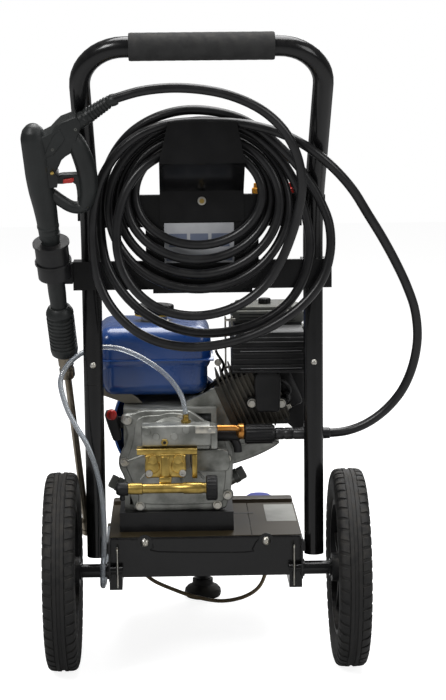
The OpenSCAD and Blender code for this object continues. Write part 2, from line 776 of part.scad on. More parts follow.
module outlet_elbow() {
    color("#2b2b2b") {
        x_bar(20, 56, outlet_y, outlet_z, 10.8);
        x_bar(56, 76, outlet_y, outlet_z, 8);
        bar([48, outlet_y, outlet_z - 6], [53, outlet_y, outlet_z - 30], 7);
        x_bar(20, 60, 22, outlet_z + 14, 4.5);
        bar([57, 22, outlet_z + 14], [57, outlet_y, outlet_z], 5);
    }
}

module hose_nut() {
    color("#151515") difference() {
        x_bar(nut_x0, nut_x1, outlet_y, outlet_z, 15.5);
        x_bar(nut_x0 - 1, 78, outlet_y, outlet_z, 8 + inlet_gap);
    }
}

module hose_sleeve() {
    color("#1c1c1c") x_bar(nut_x1 + 0.3, sleeve_x1, outlet_y, outlet_z, sleeve_r);
}

// ---- Hoses ----

module pressure_hose() {
    color("#1e1e1e") {
        swept(HOSE_IN, hose_r);
        swept(HOSE_OUT, hose_r);
    }
}

// An ellipse's outline, given by its middle, half width, top and bottom
function oval(cx, a, top, low) = [for (k = [0 : 47])
    [cx + a * sin(7.5 * k), (top + low) / 2 + (top - low) / 2 * cos(7.5 * k)]];

module hose_coil() {
    color("#1e1e1e") difference() {
        xz_plate(oval(coil_c, 140 + hose_r, 841 + hose_r, 580 - hose_r), -47, -17);
        xz_plate(oval(coil_c, 82, 795, 664), -48, -16);
    }
}

module detergent_tube() { color("#c8ccd2") swept(CLEAR, clear_tube_d / 2, 8); }
module drain_tube() { color("#7d6a45") swept(DRAIN, drain_tube_d / 2, 8); }

// The detergent tank's outline, drawn in by t all round
module tank_shape(t) {
    translate([t - tank_x, 0, 0]) rotate([90, 0, 90]) linear_extrude(2 * (tank_x - t))
        polygon([[tank_y0 + t, tray_low + t], [tank_y1 - t, tray_low + t], [tank_y1 - t, tray_low + 34 - t],
                 [tank_y0 + 50, tray_low + 42 - t], [tank_y0 + 30, tank_z1 - t], [tank_y0 + t, tank_z1 - t]]);
}

module detergent_tank() {
    color("#5a4a33") difference() {
        union() {
            tank_shape(0);
            block([-160, tank_y0 + 12, 152], [-tank_x, tank_y0 + 24, 164]);
            translate([-156, tank_y0 + 8, 158]) rotate([-90, 0, 0]) cylinder(r = 4.5, h = 16);
            translate([97, tank_y1 - 62, tray_low + 30]) cylinder(r = 17, h = 11);
        }
        tank_shape(2.5);
        translate([97, tank_y1 - 62, tray_low + 20]) cylinder(r = 13, h = 40);
    }
}

module detergent_cap() {
    color("#2a3f9e") translate([97, tank_y1 - 62, tray_low + 41.4]) {
        cylinder(r = 21, h = 14);
        translate([0, 0, -10]) cylinder(r = 12.95, h = 11);
    }
}

// ---- Gun and lance ----

// A plate in the gun's X-Z plane, t thick, with its middle at y
module gun_plate(points, t, y = 0) {
    translate([0, y + t / 2, 0]) rotate([90, 0, 0]) linear_extrude(t) polygon(points);
}

module gun_body() {
    color("#1b1c1c") gun_frame() {
        difference() {
            union() {
                gun_plate([[-17, 36], [-18, 83], [-22, 117], [-25, 182], [-21, 210], [-9, 222], [6, 224],
                           [15, 214], [22, 212], [29, 222], [36, 228], [59, 236], [66, 220], [69, 206],
                           [71, 190], [78, 165], [82, 137], [78, 105], [70, 81], [57, 70], [45, 68],
                           [34, 75], [22, 88], [19, 70], [16, 36]], 32);
                translate([0, 0, grip_top]) cylinder(r = barrel_r, h = 130);
                bar([56, 0, 216], [112, 0, 249], 12);
            }
            gun_plate([[26, 160], [36, 170], [43, 160], [50, 147], [51, 125], [50, 105], [39, 95],
                       [28, 106], [25, 118]], 40);
            gun_plate([[8, 92], [64, 92], [66, 150], [8, 150]], 13);
        }
        translate([trigger_pin[0], 7, trigger_pin[1]]) rotate([90, 0, 0]) cylinder(r = 2.5, h = 14);
    }
}

module gun_trigger() {
    color("#111111") gun_frame() {
        difference() {
            gun_plate([[14, 125], [28, 124], [44, 125], [47, 121], [47, 100], [52, 97], [57, 104],
                       [58, 130], [52, 139], [30, 140], [14, 138]], 12);
            translate([trigger_pin[0], 20, trigger_pin[1]]) rotate([90, 0, 0])
                cylinder(r = 2.5 + axle_gap, h = 40);
        }
        translate([lock_pin[0], -6, lock_pin[1]]) rotate([90, 0, 0]) cylinder(r = 1.5, h = 4);
    }
}

module trigger_lock() {
    color("#c8342a") gun_frame() difference() {
        gun_plate([[28, 127], [42, 127], [46, 131], [45, 135], [30, 134]], 3.2, -8);
        translate([lock_pin[0], 0, lock_pin[1]]) rotate([90, 0, 0]) cylinder(r = 1.5 + axle_gap, h = 40);
    }
}

module lance_grip() {
    color("#202020") gun_frame() difference() {
        translate([0, 0, grip_end]) cylinder(r = 21.5, h = grip_top - grip_end);
        translate([0, 0, grip_end - 1]) cylinder(r = lance_r, h = 200);
    }
}

module lance() {
    color("#9a9080") gun_frame() difference() {
        union() {
            translate([0, 0, pipe_end]) cylinder(r = lance_r, h = grip_top - pipe_end);
            translate([0, 0, pipe_top]) cylinder(r = 12, h = grip_end - pipe_top);
            translate([0, 0, pipe_end]) cylinder(r = coupler_r, h = 30);
        }
        translate([0, 0, pipe_end - 1]) cylinder(r = coupler_bore / 2, h = 19);
    }
}

// ---- What is drawn ----

place() base_tray();
place() support_rails();
place() front_foot();
place() left_upright();
place() right_upright();
place() handle_tube();
place() handle_grip();
place() cross_panel();
place() hose_hook();
place() gun_holder();
place() bolts();
place() soap_nozzle();
place() green_nozzle();
place() yellow_nozzle();
place() white_nozzle();
place() red_nozzle();
place() left_tyre();
place() right_tyre();
place() left_rim();
place() right_rim();
place() stub_axles();
place() hairpins();
place() engine_mount();
place() crankcase();
place() side_cover();
place() cylinder_block();
place() valve_cover();
place() muffler();
place() air_cleaner();
place() air_cleaner_knob();
place() carburettor();
place() fuel_tank();
place() fuel_cap();
place() recoil_housing();
place() recoil_grip();
place() flywheel();
place() crankshaft();
place() piston();
place() switch_box();
place() engine_switch();
place() left_dipstick();
place() right_dipstick();
place() pump_body();
place() pump_head();
place() inlet_manifold();
place() hose_connector();
place() outlet_elbow();
place() hose_nut();
place() hose_sleeve();
place() pressure_hose();
place() hose_coil();
place() detergent_tube();
place() drain_tube();
place() detergent_tank();
place() detergent_cap();
place() gun_body();
place() gun_trigger();
place() trigger_lock();
place() lance();
place() lance_grip();
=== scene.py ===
from math import cos, pi, radians, sin, sqrt, tan
import bmesh
import bpy
import numpy as np
from mathutils import Matrix, Vector


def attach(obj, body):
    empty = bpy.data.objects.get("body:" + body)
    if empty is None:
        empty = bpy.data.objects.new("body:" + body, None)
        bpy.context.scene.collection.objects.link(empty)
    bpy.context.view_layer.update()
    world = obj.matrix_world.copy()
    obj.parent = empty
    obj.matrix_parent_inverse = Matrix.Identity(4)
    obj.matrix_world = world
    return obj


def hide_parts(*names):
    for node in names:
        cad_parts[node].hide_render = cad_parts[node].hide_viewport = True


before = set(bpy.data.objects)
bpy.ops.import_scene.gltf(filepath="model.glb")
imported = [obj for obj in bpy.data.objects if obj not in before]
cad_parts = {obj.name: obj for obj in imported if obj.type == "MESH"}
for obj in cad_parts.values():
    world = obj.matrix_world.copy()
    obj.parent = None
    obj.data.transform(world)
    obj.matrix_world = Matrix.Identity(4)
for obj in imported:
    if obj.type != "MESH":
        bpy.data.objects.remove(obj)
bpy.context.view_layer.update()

# ---- Camera ----
# It stands a few metres behind the handle and a little under a metre up, and looks slightly down
# on the machine through a long lens.
yaw, dip, roll = -0.0245, 0.144, -0.0102
eye = Vector((-0.0438, -3.400, 0.9287))
forward = Vector((-sin(yaw) * cos(dip), cos(yaw) * cos(dip), -sin(dip)))
level = Vector((cos(yaw), sin(yaw), 0))
above = level.cross(forward)
right = cos(roll) * level + sin(roll) * above
up = -sin(roll) * level + cos(roll) * above


def add_object(name, data):
    ob = bpy.data.objects.new(name, data)
    bpy.context.collection.objects.link(ob)
    return ob


camera = add_object("camera", bpy.data.cameras.new("camera"))
camera.matrix_world = Matrix.Translation(eye) @ Matrix((right, up, -forward)).transposed().to_4x4()
camera.data.lens = 102.64
camera.data.sensor_width = 36
bpy.context.scene.camera = camera

# ---- High-pressure hose ----
# A smooth black rubber hose, 14 mm thick. It leaves the pump's outlet through a crimped sleeve,
# goes once round the outside, hangs in a wound coil over the hook and ends in the gun's fitting.

# Directions: across the machine, back to the handle, and front to the foot
ACROSS, BACK, FRONT = (1, 0, 0), (0, -1, 0), (0, 1, 0)
FOOT_Y = 400  # the foot, where the origin is, stands this many millimetres in front of the axle
SHARP_EDGE = radians(32)


# Places are given in millimetres from the ground under the middle of the axle
def at(x, y, z):
    return Vector((x / 1000, (y - FOOT_Y) / 1000, z / 1000))


def smooth(points, step, closed=False):
    p = [np.array(q, float) for q in points]
    n = len(p)
    q = [p[-1]] + p + [p[0], p[1]] if closed else [2 * p[0] - p[1]] + p + [2 * p[-1] - p[-2]]
    out = []
    for i in range(n if closed else n - 1):
        a, b, c, d = q[i:i + 4]
        k = max(1, round(float(np.linalg.norm(c - b)) / step))
        for t in np.arange(k) / k:
            out.append(0.5 * (2 * b + (c - a) * t + (2 * a - 5 * b + 4 * c - d) * t ** 2
                + (3 * b - a - 3 * c + d) * t ** 3))
    return out if closed else out + [p[-1]]


def tube(points, radius, sides=12):
    p = [Vector(tuple(v)) for v in points]
    bm = bmesh.new()
    rings = []
    side = None
    for i, v in enumerate(p):
        along = (p[min(i + 1, len(p) - 1)] - p[max(i - 1, 0)]).normalized()
        side = side or along.orthogonal()
        side = (side - side.dot(along) * along).normalized()
        other = along.cross(side)
        r = radius(i / (len(p) - 1)) if callable(radius) else radius
        rings.append([bm.verts.new(v + r * (cos(a) * side + sin(a) * other))
            for a in [2 * pi * k / sides for k in range(sides)]])
    for a, b in zip(rings, rings[1:]):
        for k in range(sides):
            bm.faces.new((a[k], a[(k + 1) % sides], b[(k + 1) % sides], b[k]))
    bm.faces.new(rings[0][::-1])
    bm.faces.new(rings[-1])
    return to_mesh(bm)


def to_mesh(bm):
    bmesh.ops.recalc_face_normals(bm, faces=bm.faces)
    mesh = bpy.data.meshes.new("shape")
    bm.to_mesh(mesh)
    bm.free()
    return mesh


def made_of(mat, *meshes):
    return [(mesh, mat) for mesh in meshes]


def piece(name, parts, body, *nodes):
    bm = bmesh.new()
    mats = []
    for mesh, mat in parts:
        if mat not in mats:
            mats.append(mat)
        first = len(bm.faces)
        bm.from_mesh(mesh)
        bm.faces.ensure_lookup_table()
        for f in bm.faces[first:]:
            f.material_index = mats.index(mat)
            f.smooth = True
    mesh = bpy.data.meshes.new(name)
    bm.to_mesh(mesh)
    bm.free()
    mesh.set_sharp_from_angle(angle=SHARP_EDGE)
    for mat in mats:
        mesh.materials.append(mat)
    ob = add_object(name, mesh)
    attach(ob, body)
    if nodes:
        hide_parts(*nodes)
    return ob


def preset(node, values):
    for key, v in values.items():
        node.inputs[key].default_value = v


# Every finish has small changes of shade and gloss, and dust that settles on what faces up; on the blue
# tank that up-facing mix is a paler blue, a painted lighter top
def make_finish_group():
    g = bpy.data.node_groups.new("used_surface", "ShaderNodeTree")
    for way, names in (("INPUT", ("Colour", "Second colour", "Patch size", "Grain size", "Gloss loss",
            "Gloss spread", "Dust", "Dust colour")), ("OUTPUT", ("Colour", "Roughness", "Height"))):
        for n in names:
            kind = "NodeSocketColor" if n.lower().endswith("colour") else "NodeSocketFloat"
            g.interface.new_socket(n, in_out=way, socket_type=kind)
    new, link = g.nodes.new, g.links.new
    i, o = new("NodeGroupInput"), new("NodeGroupOutput")
    where = new("ShaderNodeTexCoord")
    patch, grain, specks = (new("ShaderNodeTexNoise") for _ in range(3))
    preset(patch, {"Detail": 5})
    preset(grain, {"Detail": 3})
    preset(specks, {"Scale": 90, "Detail": 8})
    for t in (patch, grain, specks):
        link(where.outputs["Object"], t.inputs["Vector"])
    link(i.outputs["Patch size"], patch.inputs["Scale"])
    link(i.outputs["Grain size"], grain.inputs["Scale"])
    mix = new("ShaderNodeMix")
    mix.data_type = "RGBA"
    ramp = new("ShaderNodeMapRange")
    preset(ramp, {"From Min": 0.35, "From Max": 0.65})
    link(patch.outputs["Fac"], ramp.inputs["Value"])
    link(ramp.outputs["Result"], mix.inputs["Factor"])
    link(i.outputs["Colour"], mix.inputs["A"])
    link(i.outputs["Second colour"], mix.inputs["B"])
    geo = new("ShaderNodeNewGeometry")
    part = new("ShaderNodeSeparateXYZ")
    link(geo.outputs["Normal"], part.inputs[0])
    facing = new("ShaderNodeMapRange")
    preset(facing, {"From Min": -0.1})
    link(part.outputs["Z"], facing.inputs["Value"])
    spot = new("ShaderNodeMapRange")
    preset(spot, {"From Min": 0.42, "From Max": 0.7})
    link(specks.outputs["Fac"], spot.inputs["Value"])
    lie, amount = new("ShaderNodeMath"), new("ShaderNodeMath")
    lie.operation = amount.operation = "MULTIPLY"
    link(facing.outputs["Result"], lie.inputs[0])
    link(spot.outputs["Result"], lie.inputs[1])
    link(lie.outputs[0], amount.inputs[0])
    link(i.outputs["Dust"], amount.inputs[1])
    # Upward faces take flecks of the dust colour: real dust on most finishes, painted top light on the
    # blue tank
    dusted_and_top_lit = new("ShaderNodeMix")
    dusted_and_top_lit.data_type = "RGBA"
    link(amount.outputs[0], dusted_and_top_lit.inputs["Factor"])
    link(mix.outputs["Result"], dusted_and_top_lit.inputs["A"])
    link(i.outputs["Dust colour"], dusted_and_top_lit.inputs["B"])
    link(dusted_and_top_lit.outputs["Result"], o.inputs["Colour"])
    spread, rough, total = new("ShaderNodeMath"), new("ShaderNodeMath"), new("ShaderNodeMath")
    spread.operation, rough.operation = "MULTIPLY", "ADD"
    link(patch.outputs["Fac"], spread.inputs[0])
    link(i.outputs["Gloss spread"], spread.inputs[1])
    link(spread.outputs[0], rough.inputs[0])
    link(i.outputs["Gloss loss"], rough.inputs[1])
    total.operation = "ADD"
    total.use_clamp = True
    link(rough.outputs[0], total.inputs[0])
    link(amount.outputs[0], total.inputs[1])
    link(total.outputs[0], o.inputs["Roughness"])
    link(grain.outputs["Fac"], o.inputs["Height"])
    return g


used_surface = make_finish_group()


# The dust amount and colour are mixed in on upward faces; the blue tank's paler blue there is painted
# light, not dust
def finish(name, colour, second=None, rough=0.4, spread=0.1, metal=0.0, patch=30, grain=500, bump=0.1,
        dust=0.0, dust_and_top_light_colour=(0.32, 0.3, 0.27), coat=0.0, clear=0.0, shine=0.5):
    mat = bpy.data.materials.new(name)
    mat.use_nodes = True
    nodes, link = mat.node_tree.nodes, mat.node_tree.links.new
    shader = nodes["Principled BSDF"]
    made = nodes.new("ShaderNodeGroup")
    made.node_tree = used_surface
    second = second or tuple(min(1, c * 1.35 + 0.004) for c in colour)
    preset(made, {"Colour": (*colour, 1), "Second colour": (*second, 1), "Patch size": patch,
        "Grain size": grain, "Gloss loss": rough, "Gloss spread": spread, "Dust": dust,
        "Dust colour": (*dust_and_top_light_colour, 1)})
    link(made.outputs["Colour"], shader.inputs["Base Color"])
    link(made.outputs["Roughness"], shader.inputs["Roughness"])
    relief = nodes.new("ShaderNodeBump")
    preset(relief, {"Strength": bump, "Distance": 0.0004})
    link(made.outputs["Height"], relief.inputs["Height"])
    link(relief.outputs["Normal"], shader.inputs["Normal"])
    preset(shader, {"Metallic": metal, "Specular IOR Level": shine, "Coat Weight": coat,
        "Coat Roughness": 0.12, "Transmission Weight": clear})
    mat.diffuse_color = (*colour, 1)
    return mat


hose_rubber = finish("hose_rubber", (0.008, 0.008, 0.0088), rough=0.24, spread=0.12, grain=900,
    bump=0.12, dust=0.06, shine=0.4)
crimped_steel = finish("crimped_steel", (0.02, 0.02, 0.021), rough=0.28, metal=0.3)
HOSE_IN = [(196, 44, 355), (226, 43, 359), (256, 40, 372), (284, 37, 394), (307, 32, 424),
    (322, 26, 462), (328, 18, 505), (323, 8, 549), (309, -5, 588), (291, -18, 625), (269, -35, 664),
    (245, -50, 702), (222, -64, 738), (195, -76, 769), (165, -83, 795), (135, -80, 814),
    (100, -71, 828), (60, -64, 837), (20, -58, 840), (-20, -57, 840), (-58, -57, 835), (-93, -56, 821),
    (-121, -55, 799), (-141, -54, 772), (-153, -52, 745), (-161, -48, 708), (-163, -44, 662),
    (-157, -42, 612), (-139, -42, 570), (-108, -42, 535), (-70, -42, 514), (-25, -42, 505),
    (24, -42, 508), (70, -42, 520), (112, -42, 540), (149, -41, 567), (177, -40, 602), (190, -39, 643),
    (189, -39, 685), (176, -42, 720), (158, -47, 752), (133, -50, 784), (98, -50, 818), (60, -50, 843),
    (18, -48, 855), (-25, -46, 857), (-66, -42, 847), (-102, -36, 826), (-128, -29, 796),
    (-144, -25, 760), (-151, -24, 718), (-151, -24, 672), (-143, -25, 628), (-122, -26, 589),
    (-92, -26, 558), (-54, -26, 536), (-8, -26, 524), (42, -26, 526), (90, -26, 541), (127, -26, 567),
    (151, -26, 605), (161, -26, 648), (156, -27, 692), (145, -30, 732), (128, -34, 767),
    (106, -37, 796), (74, -39, 822), (38, -40, 836), (-2, -40, 841)]
HOSE_OUT = [(-2, -40, 803), (-45, -48, 797), (-84, -55, 776), (-110, -58, 744), (-124, -58, 704),
    (-127, -58, 662), (-119, -58, 624), (-99, -58, 591), (-69, -58, 567), (-30, -58, 555),
    (12, -59, 556), (54, -60, 570), (90, -62, 597), (113, -66, 631), (129, -72, 669), (140, -80, 708),
    (145, -90, 748), (138, -100, 790), (119, -110, 827), (89, -118, 856), (50, -125, 876),
    (8, -131, 887), (-40, -137, 891), (-86, -140, 887), (-127, -140, 876)]
wound, coils, steps = [], 4, 16
for k in range(1, coils * steps):
    turns = coils - k / steps
    top, low = 803 + 9.5 * turns, 668 - 22 * turns
    angle = 2 * pi * turns
    wound.append((-2 + (88 + 13 * turns) * sin(angle), -32 - 8 * cos(angle / 2), (top + low) / 2
        + (top - low) / 2 * cos(angle)))
hose_route = smooth([(111, 44, 355), (150, 44, 355)] + HOSE_IN + wound + HOSE_OUT, 7)
hose_route = [at(*p) for p in hose_route]


def lathe(profile, centre, axis=(0, 0, 1), sides=48):
    turn = Vector((0, 0, 1)).rotation_difference(Vector(axis)).to_matrix()
    bm = bmesh.new()
    rings = []
    for z, r in profile:
        n = 1 if r < 1e-6 else sides
        rings.append([bm.verts.new(Vector(centre) + turn
            @ Vector((r * cos(2 * pi * k / n), r * sin(2 * pi * k / n), z)) / 1000) for k in range(n)])
    for a, b in zip(rings, rings[1:]):
        for k in range(sides):
            face = [a[k % len(a)], a[(k + 1) % len(a)], b[(k + 1) % len(b)], b[k % len(b)]]
            face = list(dict.fromkeys(face))
            if len(face) > 2:
                bm.faces.new(face)
    if profile[0] == profile[-1]:
        bmesh.ops.remove_doubles(bm, verts=bm.verts, dist=1e-6)
    return to_mesh(bm)


sleeve = piece("hose_end_sleeve", [(lathe([(0, 7.2), (0, 8.6), (2, 9.4), (12, 9.4), (13, 8.8),
    (15, 8.8), (16, 9.4), (26, 9.4), (27, 8.8), (29, 8.8), (30, 9.4), (64, 9.4), (66, 9.1), (84, 8.7),
    (85.4, 7.4)], at(110.4, 44, 355), ACROSS), crimped_steel)], "trolley", "hose_sleeve")
hose = piece("pressure_hose", [(tube(hose_route, 0.007, 16), hose_rubber)], "trolley", "pressure_hose",
    "hose_coil")

# ---- Detergent tubes ----
# A clear soft tube takes detergent from the tank up to the pump's barb, and a short tinted
# tube hangs in a loop under the tank to drain it. Both are cut lengths of plain vinyl.
CLEAR = [(-28, 20, 392), (-31, 22, 409), (-36, 26, 423), (-50, 32, 443), (-71, 38, 462),
    (-100, 43, 480), (-129, 47, 491), (-156, 45, 494), (-178, 31, 491), (-197, 11, 482),
    (-210, -1, 469), (-217, -7, 453), (-216, -11, 436), (-207, -13, 406), (-194, -14, 380),
    (-181, -13, 357), (-171, -13, 332), (-164, -13, 307), (-159, -14, 282), (-156, -15, 254),
    (-155, -17, 222), (-156, -20, 190), (-158, -23, 162), (-159, -18, 139), (-159, 0, 128),
    (-158, 30, 125), (-158, 75, 128), (-157, 130, 136), (-156, 190, 147), (-156, 235, 155),
    (-156, 258, 158)]
DRAIN = [(-112, 265, 138), (-112, 265, 116), (-107, 262, 92), (-87, 258, 69), (-44, 256, 49),
    (-8, 255, 37), (30, 255, 31), (66, 256, 37), (91, 258, 52), (103, 262, 74), (108, 265, 100),
    (108, 265, 138)]
clear_vinyl = finish("clear_vinyl", (0.55, 0.6, 0.66), (0.66, 0.7, 0.74), rough=0.08, spread=0.08,
    grain=120, bump=0.05, coat=0.6, clear=0.7)
tinted_vinyl = finish("tinted_vinyl", (0.2, 0.14, 0.07), (0.3, 0.22, 0.12), rough=0.2, spread=0.15,
    grain=120, bump=0.05, coat=0.3)
for name, route, radius, mat, node in (("clear_tube", CLEAR, 0.004, clear_vinyl, "detergent_tube"),
        ("tinted_tube", DRAIN, 0.00325, tinted_vinyl, "drain_tube")):
    path = [at(*p) for p in smooth(route, 6)]
    ob = piece(name, [(tube(path, radius, 12), mat)], "trolley", node)

# ---- Frame, base and fixings ----
# The frame is bent and welded from steel tube and sheet, then powder coated gloss black. The
# bolts, nuts and spring hairpins are zinc plated.
powder_coat = finish("powder_coat", (0.004, 0.004, 0.0044), (0.007, 0.007, 0.0075), rough=0.16,
    spread=0.14, grain=260, coat=0.25, dust=0.05, shine=0.3)
satin_coat = finish("satin_coat", (0.007, 0.007, 0.0075), (0.013, 0.013, 0.014), rough=0.26,
    spread=0.14, grain=420, bump=0.14, coat=0.1, dust=0.06, shine=0.3)
zinc = finish("zinc_plate", (0.5, 0.49, 0.46), (0.66, 0.63, 0.55), rough=0.24, spread=0.2, metal=1,
    patch=120, grain=900, bump=0.08)


def dress(mat, *nodes):
    for n in nodes:
        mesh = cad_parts[n].data
        mesh.materials.clear()
        mesh.materials.append(mat)


dress(powder_coat, "left_upright", "right_upright", "base_tray", "support_rails", "stub_axles")
dress(satin_coat, "engine_mount", "gun_holder")


def block(lo, hi, soft=1.5, steps=2):
    bm = bmesh.new()
    bmesh.ops.create_cube(bm, size=1)
    a, b = at(*lo), at(*hi)
    for v in bm.verts:
        v.co = Vector([(a[i] + b[i]) / 2 + v.co[i] * (b[i] - a[i]) for i in range(3)])
    bmesh.ops.bevel(bm, geom=bm.edges[:], offset=soft / 1000, segments=steps, profile=0.5,
        affect="EDGES")
    return to_mesh(bm)


def hexagon(centre, axis, across, high):
    r = across / sqrt(3)
    return lathe([(0, 0), (0, r * 0.94), (high * 0.15, r), (high * 0.85, r), (high, r * 0.92),
        (high, 0)], centre, axis, 6)


# Rows and rings of one shape: each copy is turned and stepped on from the one before
def make_repeat_tree():
    t = bpy.data.node_groups.new("repeat_shape", "GeometryNodeTree")
    for way, sockets in (("INPUT", (("Geometry", "Geometry"), ("Count", "Int"), ("Turn", "Vector"),
            ("Step", "Vector"), ("Centre", "Vector"), ("Material", "Material"))),
            ("OUTPUT", (("Geometry", "Geometry"),))):
        for n, kind in sockets:
            t.interface.new_socket(n, in_out=way, socket_type="NodeSocket" + kind)
    new, link = t.nodes.new, t.links.new
    i, o, index = new("NodeGroupInput"), new("NodeGroupOutput"), new("GeometryNodeInputIndex")
    points, copies, moved = (new("GeometryNode" + k) for k in ("Points", "InstanceOnPoints",
        "TranslateInstances"))
    placed, solid, coat = (new("GeometryNode" + k) for k in ("Transform", "RealizeInstances",
        "SetMaterial"))
    moved.inputs["Local Space"].default_value = False
    turned, stepped = new("ShaderNodeVectorMath"), new("ShaderNodeVectorMath")
    for n, key in ((turned, "Turn"), (stepped, "Step")):
        n.operation = "SCALE"
        link(i.outputs[key], n.inputs[0])
        link(index.outputs[0], n.inputs["Scale"])
    link(i.outputs["Count"], points.inputs["Count"])
    link(points.outputs[0], copies.inputs["Points"])
    link(i.outputs["Geometry"], copies.inputs["Instance"])
    link(turned.outputs[0], copies.inputs["Rotation"])
    link(copies.outputs[0], moved.inputs["Instances"])
    link(stepped.outputs[0], moved.inputs["Translation"])
    link(moved.outputs[0], placed.inputs["Geometry"])
    link(i.outputs["Centre"], placed.inputs["Translation"])
    link(placed.outputs[0], solid.inputs[0])
    link(solid.outputs[0], coat.inputs["Geometry"])
    link(i.outputs["Material"], coat.inputs["Material"])
    link(coat.outputs[0], o.inputs[0])
    return t


repeat_shape = make_repeat_tree()


# The mesh that a working object comes to, once its modifiers or bevels are worked out
def settled(ob):
    bpy.context.view_layer.update()
    mesh = bpy.data.meshes.new_from_object(ob.evaluated_get(bpy.context.evaluated_depsgraph_get()))
    bpy.data.objects.remove(ob)
    return mesh


def repeat(mesh, mat, count, turn=(0, 0, 0), step=(0, 0, 0), centre=(0, 0, 0)):
    ob = add_object("repeat", mesh)
    mod = ob.modifiers.new("repeat", "NODES")
    mod.node_group = repeat_shape
    ids = {s.name: s.identifier for s in repeat_shape.interface.items_tree if s.in_out == "INPUT"}
    mod[ids["Count"]] = count
    for key, v in (("Turn", turn), ("Step", step), ("Centre", centre)):
        mod[ids[key]] = tuple(map(float, v))
    mod[ids["Material"]] = mat
    return settled(ob)


# The hairpins are bent from one length of wire with a wavy leg and a round eye
for side in (-1, 1):
    x = side * 136.5
    wire = [(x, -9, 129), (x, -7.5, 140), (x, -9.5, 152), (x, -8, 166), (x, -9, 180)]
    wire += [(x, -4.5 - 4.5 * cos(a), 184.5 + 4.5 * sin(a)) for a in np.linspace(0.3, pi, 6)]
    wire += [(x, 0, 176), (x, 0, 124.6)]
    piece(("left" if side < 0 else "right") + "_hairpin",
        [(tube([at(*p) for p in smooth(wire, 2)], 0.0014, 8), zinc)], "trolley", "hairpins")

fixings = []
for side in (-1, 1):
    fixings += made_of(zinc, lathe([(-0.6, 0), (-0.6, 4.6), (1, 4.6), (2.4, 3.6), (3.2, 2), (3.2, 0)],
        at(168 * side, -0.4, 473), BACK, 24), lathe([(0, 0), (0, 3), (38, 3), (38, 0)],
        at(168 * side, 0, 473), FRONT, 16), hexagon(at(168 * side, 30.4, 473), FRONT, 10, 5),
        lathe([(0, 0), (0, 7.4), (1.2, 7), (3, 6.4), (5, 4.6), (5.6, 2.6), (4.6, 2.2), (4.6, 0)],
        at(94 * side, 11.9, 193), BACK, 28))
fixings += made_of(zinc, lathe([(0, 0), (0, 6.4), (1, 6.2), (1.4, 3), (1.4, 0)], at(0, -9, 721), BACK,
    24), lathe([(0, 0), (0, 3), (18, 3), (18, 0)], at(0, -10, 721), FRONT, 16))
piece("frame_bolts", fixings, "trolley", "bolts")
piece("tray_pressing", made_of(powder_coat, tube([at(p[0], 11.9, p[2])
    for p in smooth([(x, 0, z) for x, z in [(-115, 197), (-92, 200), (-84, 195), (-81, 185), (-74, 178),
    (62, 175), (72, 180), (78, 191), (86, 197), (100, 197)]], 5)], 0.0011, 8),
    tube([at(-146, 11.7, 199), at(146, 11.7, 199)], 0.0013, 8)), "trolley")

# ---- Handle ----
# One tube is bent into a hoop that leans back from the uprights, swaged over their tops and
# bolted. A soft foam sleeve covers the middle of the bar.
post_x, post_y, bar_x, end_z, bend_z, bar_z = 168, 15, 176, 440, 700, 949
lean = tan(radians(35))
top_y = post_y - (bar_z - bend_z) * lean


def rounded(corners, radii, steps=10):
    out = []
    for i, p in enumerate(corners):
        p = Vector(p)
        if not radii[i]:
            out.append(p)
            continue
        u, v = (p - Vector(corners[i - 1])).normalized(), (Vector(corners[i + 1]) - p).normalized()
        turn = u.angle(v)
        w = (v - u.dot(v) * u).normalized()
        c = p - u * radii[i] * tan(turn / 2) + w * radii[i]
        out += [c + radii[i] * (sin(turn * k / steps) * u - cos(turn * k / steps) * w)
            for k in range(steps + 1)]
    return out


bar = rounded([(post_x, post_y, end_z), (post_x, post_y, bend_z), (bar_x, top_y, bar_z),
    (-bar_x, top_y, bar_z), (-post_x, post_y, bend_z), (-post_x, post_y, end_z)],
    [0, 180, 65, 65, 180, 0])
piece("handle_hoop", made_of(powder_coat, tube([at(*p) for p in bar], 0.015, 32),
    lathe([(0, 15.02), (0.6, 15.04), (1.5, 15.04), (2, 14.9)], at(-post_x, post_y, end_z))), "trolley",
    "handle_tube")
foam = finish("grip_foam", (0.018, 0.018, 0.018), (0.03, 0.03, 0.03), rough=0.82, spread=0.15, patch=60,
    grain=1500, bump=0.6, dust=0.15)
profile = [(-103, 15.2), (-103, 18.5), (-102, 19.6), (-99, 20)]
profile += [(-95 + 5 * k, 19.86 + 0.1 * sin(1.9 * k)) for k in range(39)]
profile += [(99, 20), (102, 19.6), (103, 18.5), (103, 15.2), (-103, 15.2)]
piece("foam_grip", [(lathe(profile, at(0, top_y, bar_z), ACROSS, 48), foam)], "trolley", "handle_grip")

# ---- Tool panel, hook and nozzles ----
# A pressed steel panel is clamped between the uprights. It carries a blank name plate, five
# quick-change nozzles pushed into holes along its top edge, and a bent shelf for the hose.
dress(powder_coat, "cross_panel", "hose_hook")
plate_grey = finish("plate_grey", (0.4, 0.41, 0.43), (0.5, 0.51, 0.53), rough=0.35, grain=600,
    bump=0.04)
plate_blue = finish("plate_blue", (0.12, 0.14, 0.2), rough=0.35, grain=600, bump=0.04)
brass = finish("machined_brass", (0.66, 0.47, 0.14), (0.42, 0.29, 0.08), rough=0.2, spread=0.25,
    metal=1, patch=90, grain=700, bump=0.16)
piece("blank_plate", [(block((-57, -6.9, 628), (48, -5.9, 688), 0.4, 1), plate_grey),
    (block((-54, -7.2, 631), (45, -6.8, 640), 0.15, 1), plate_blue)]
    + [(block((x, -7.2, 652), (x + 27, -6.8, 672), 0.15, 1), plate_blue) for x in (-50, -18, 14)],
    "trolley")
piece("panel_bolt", [(hexagon(at(0, -12.2, 721), BACK, 7, 4), brass)], "trolley")
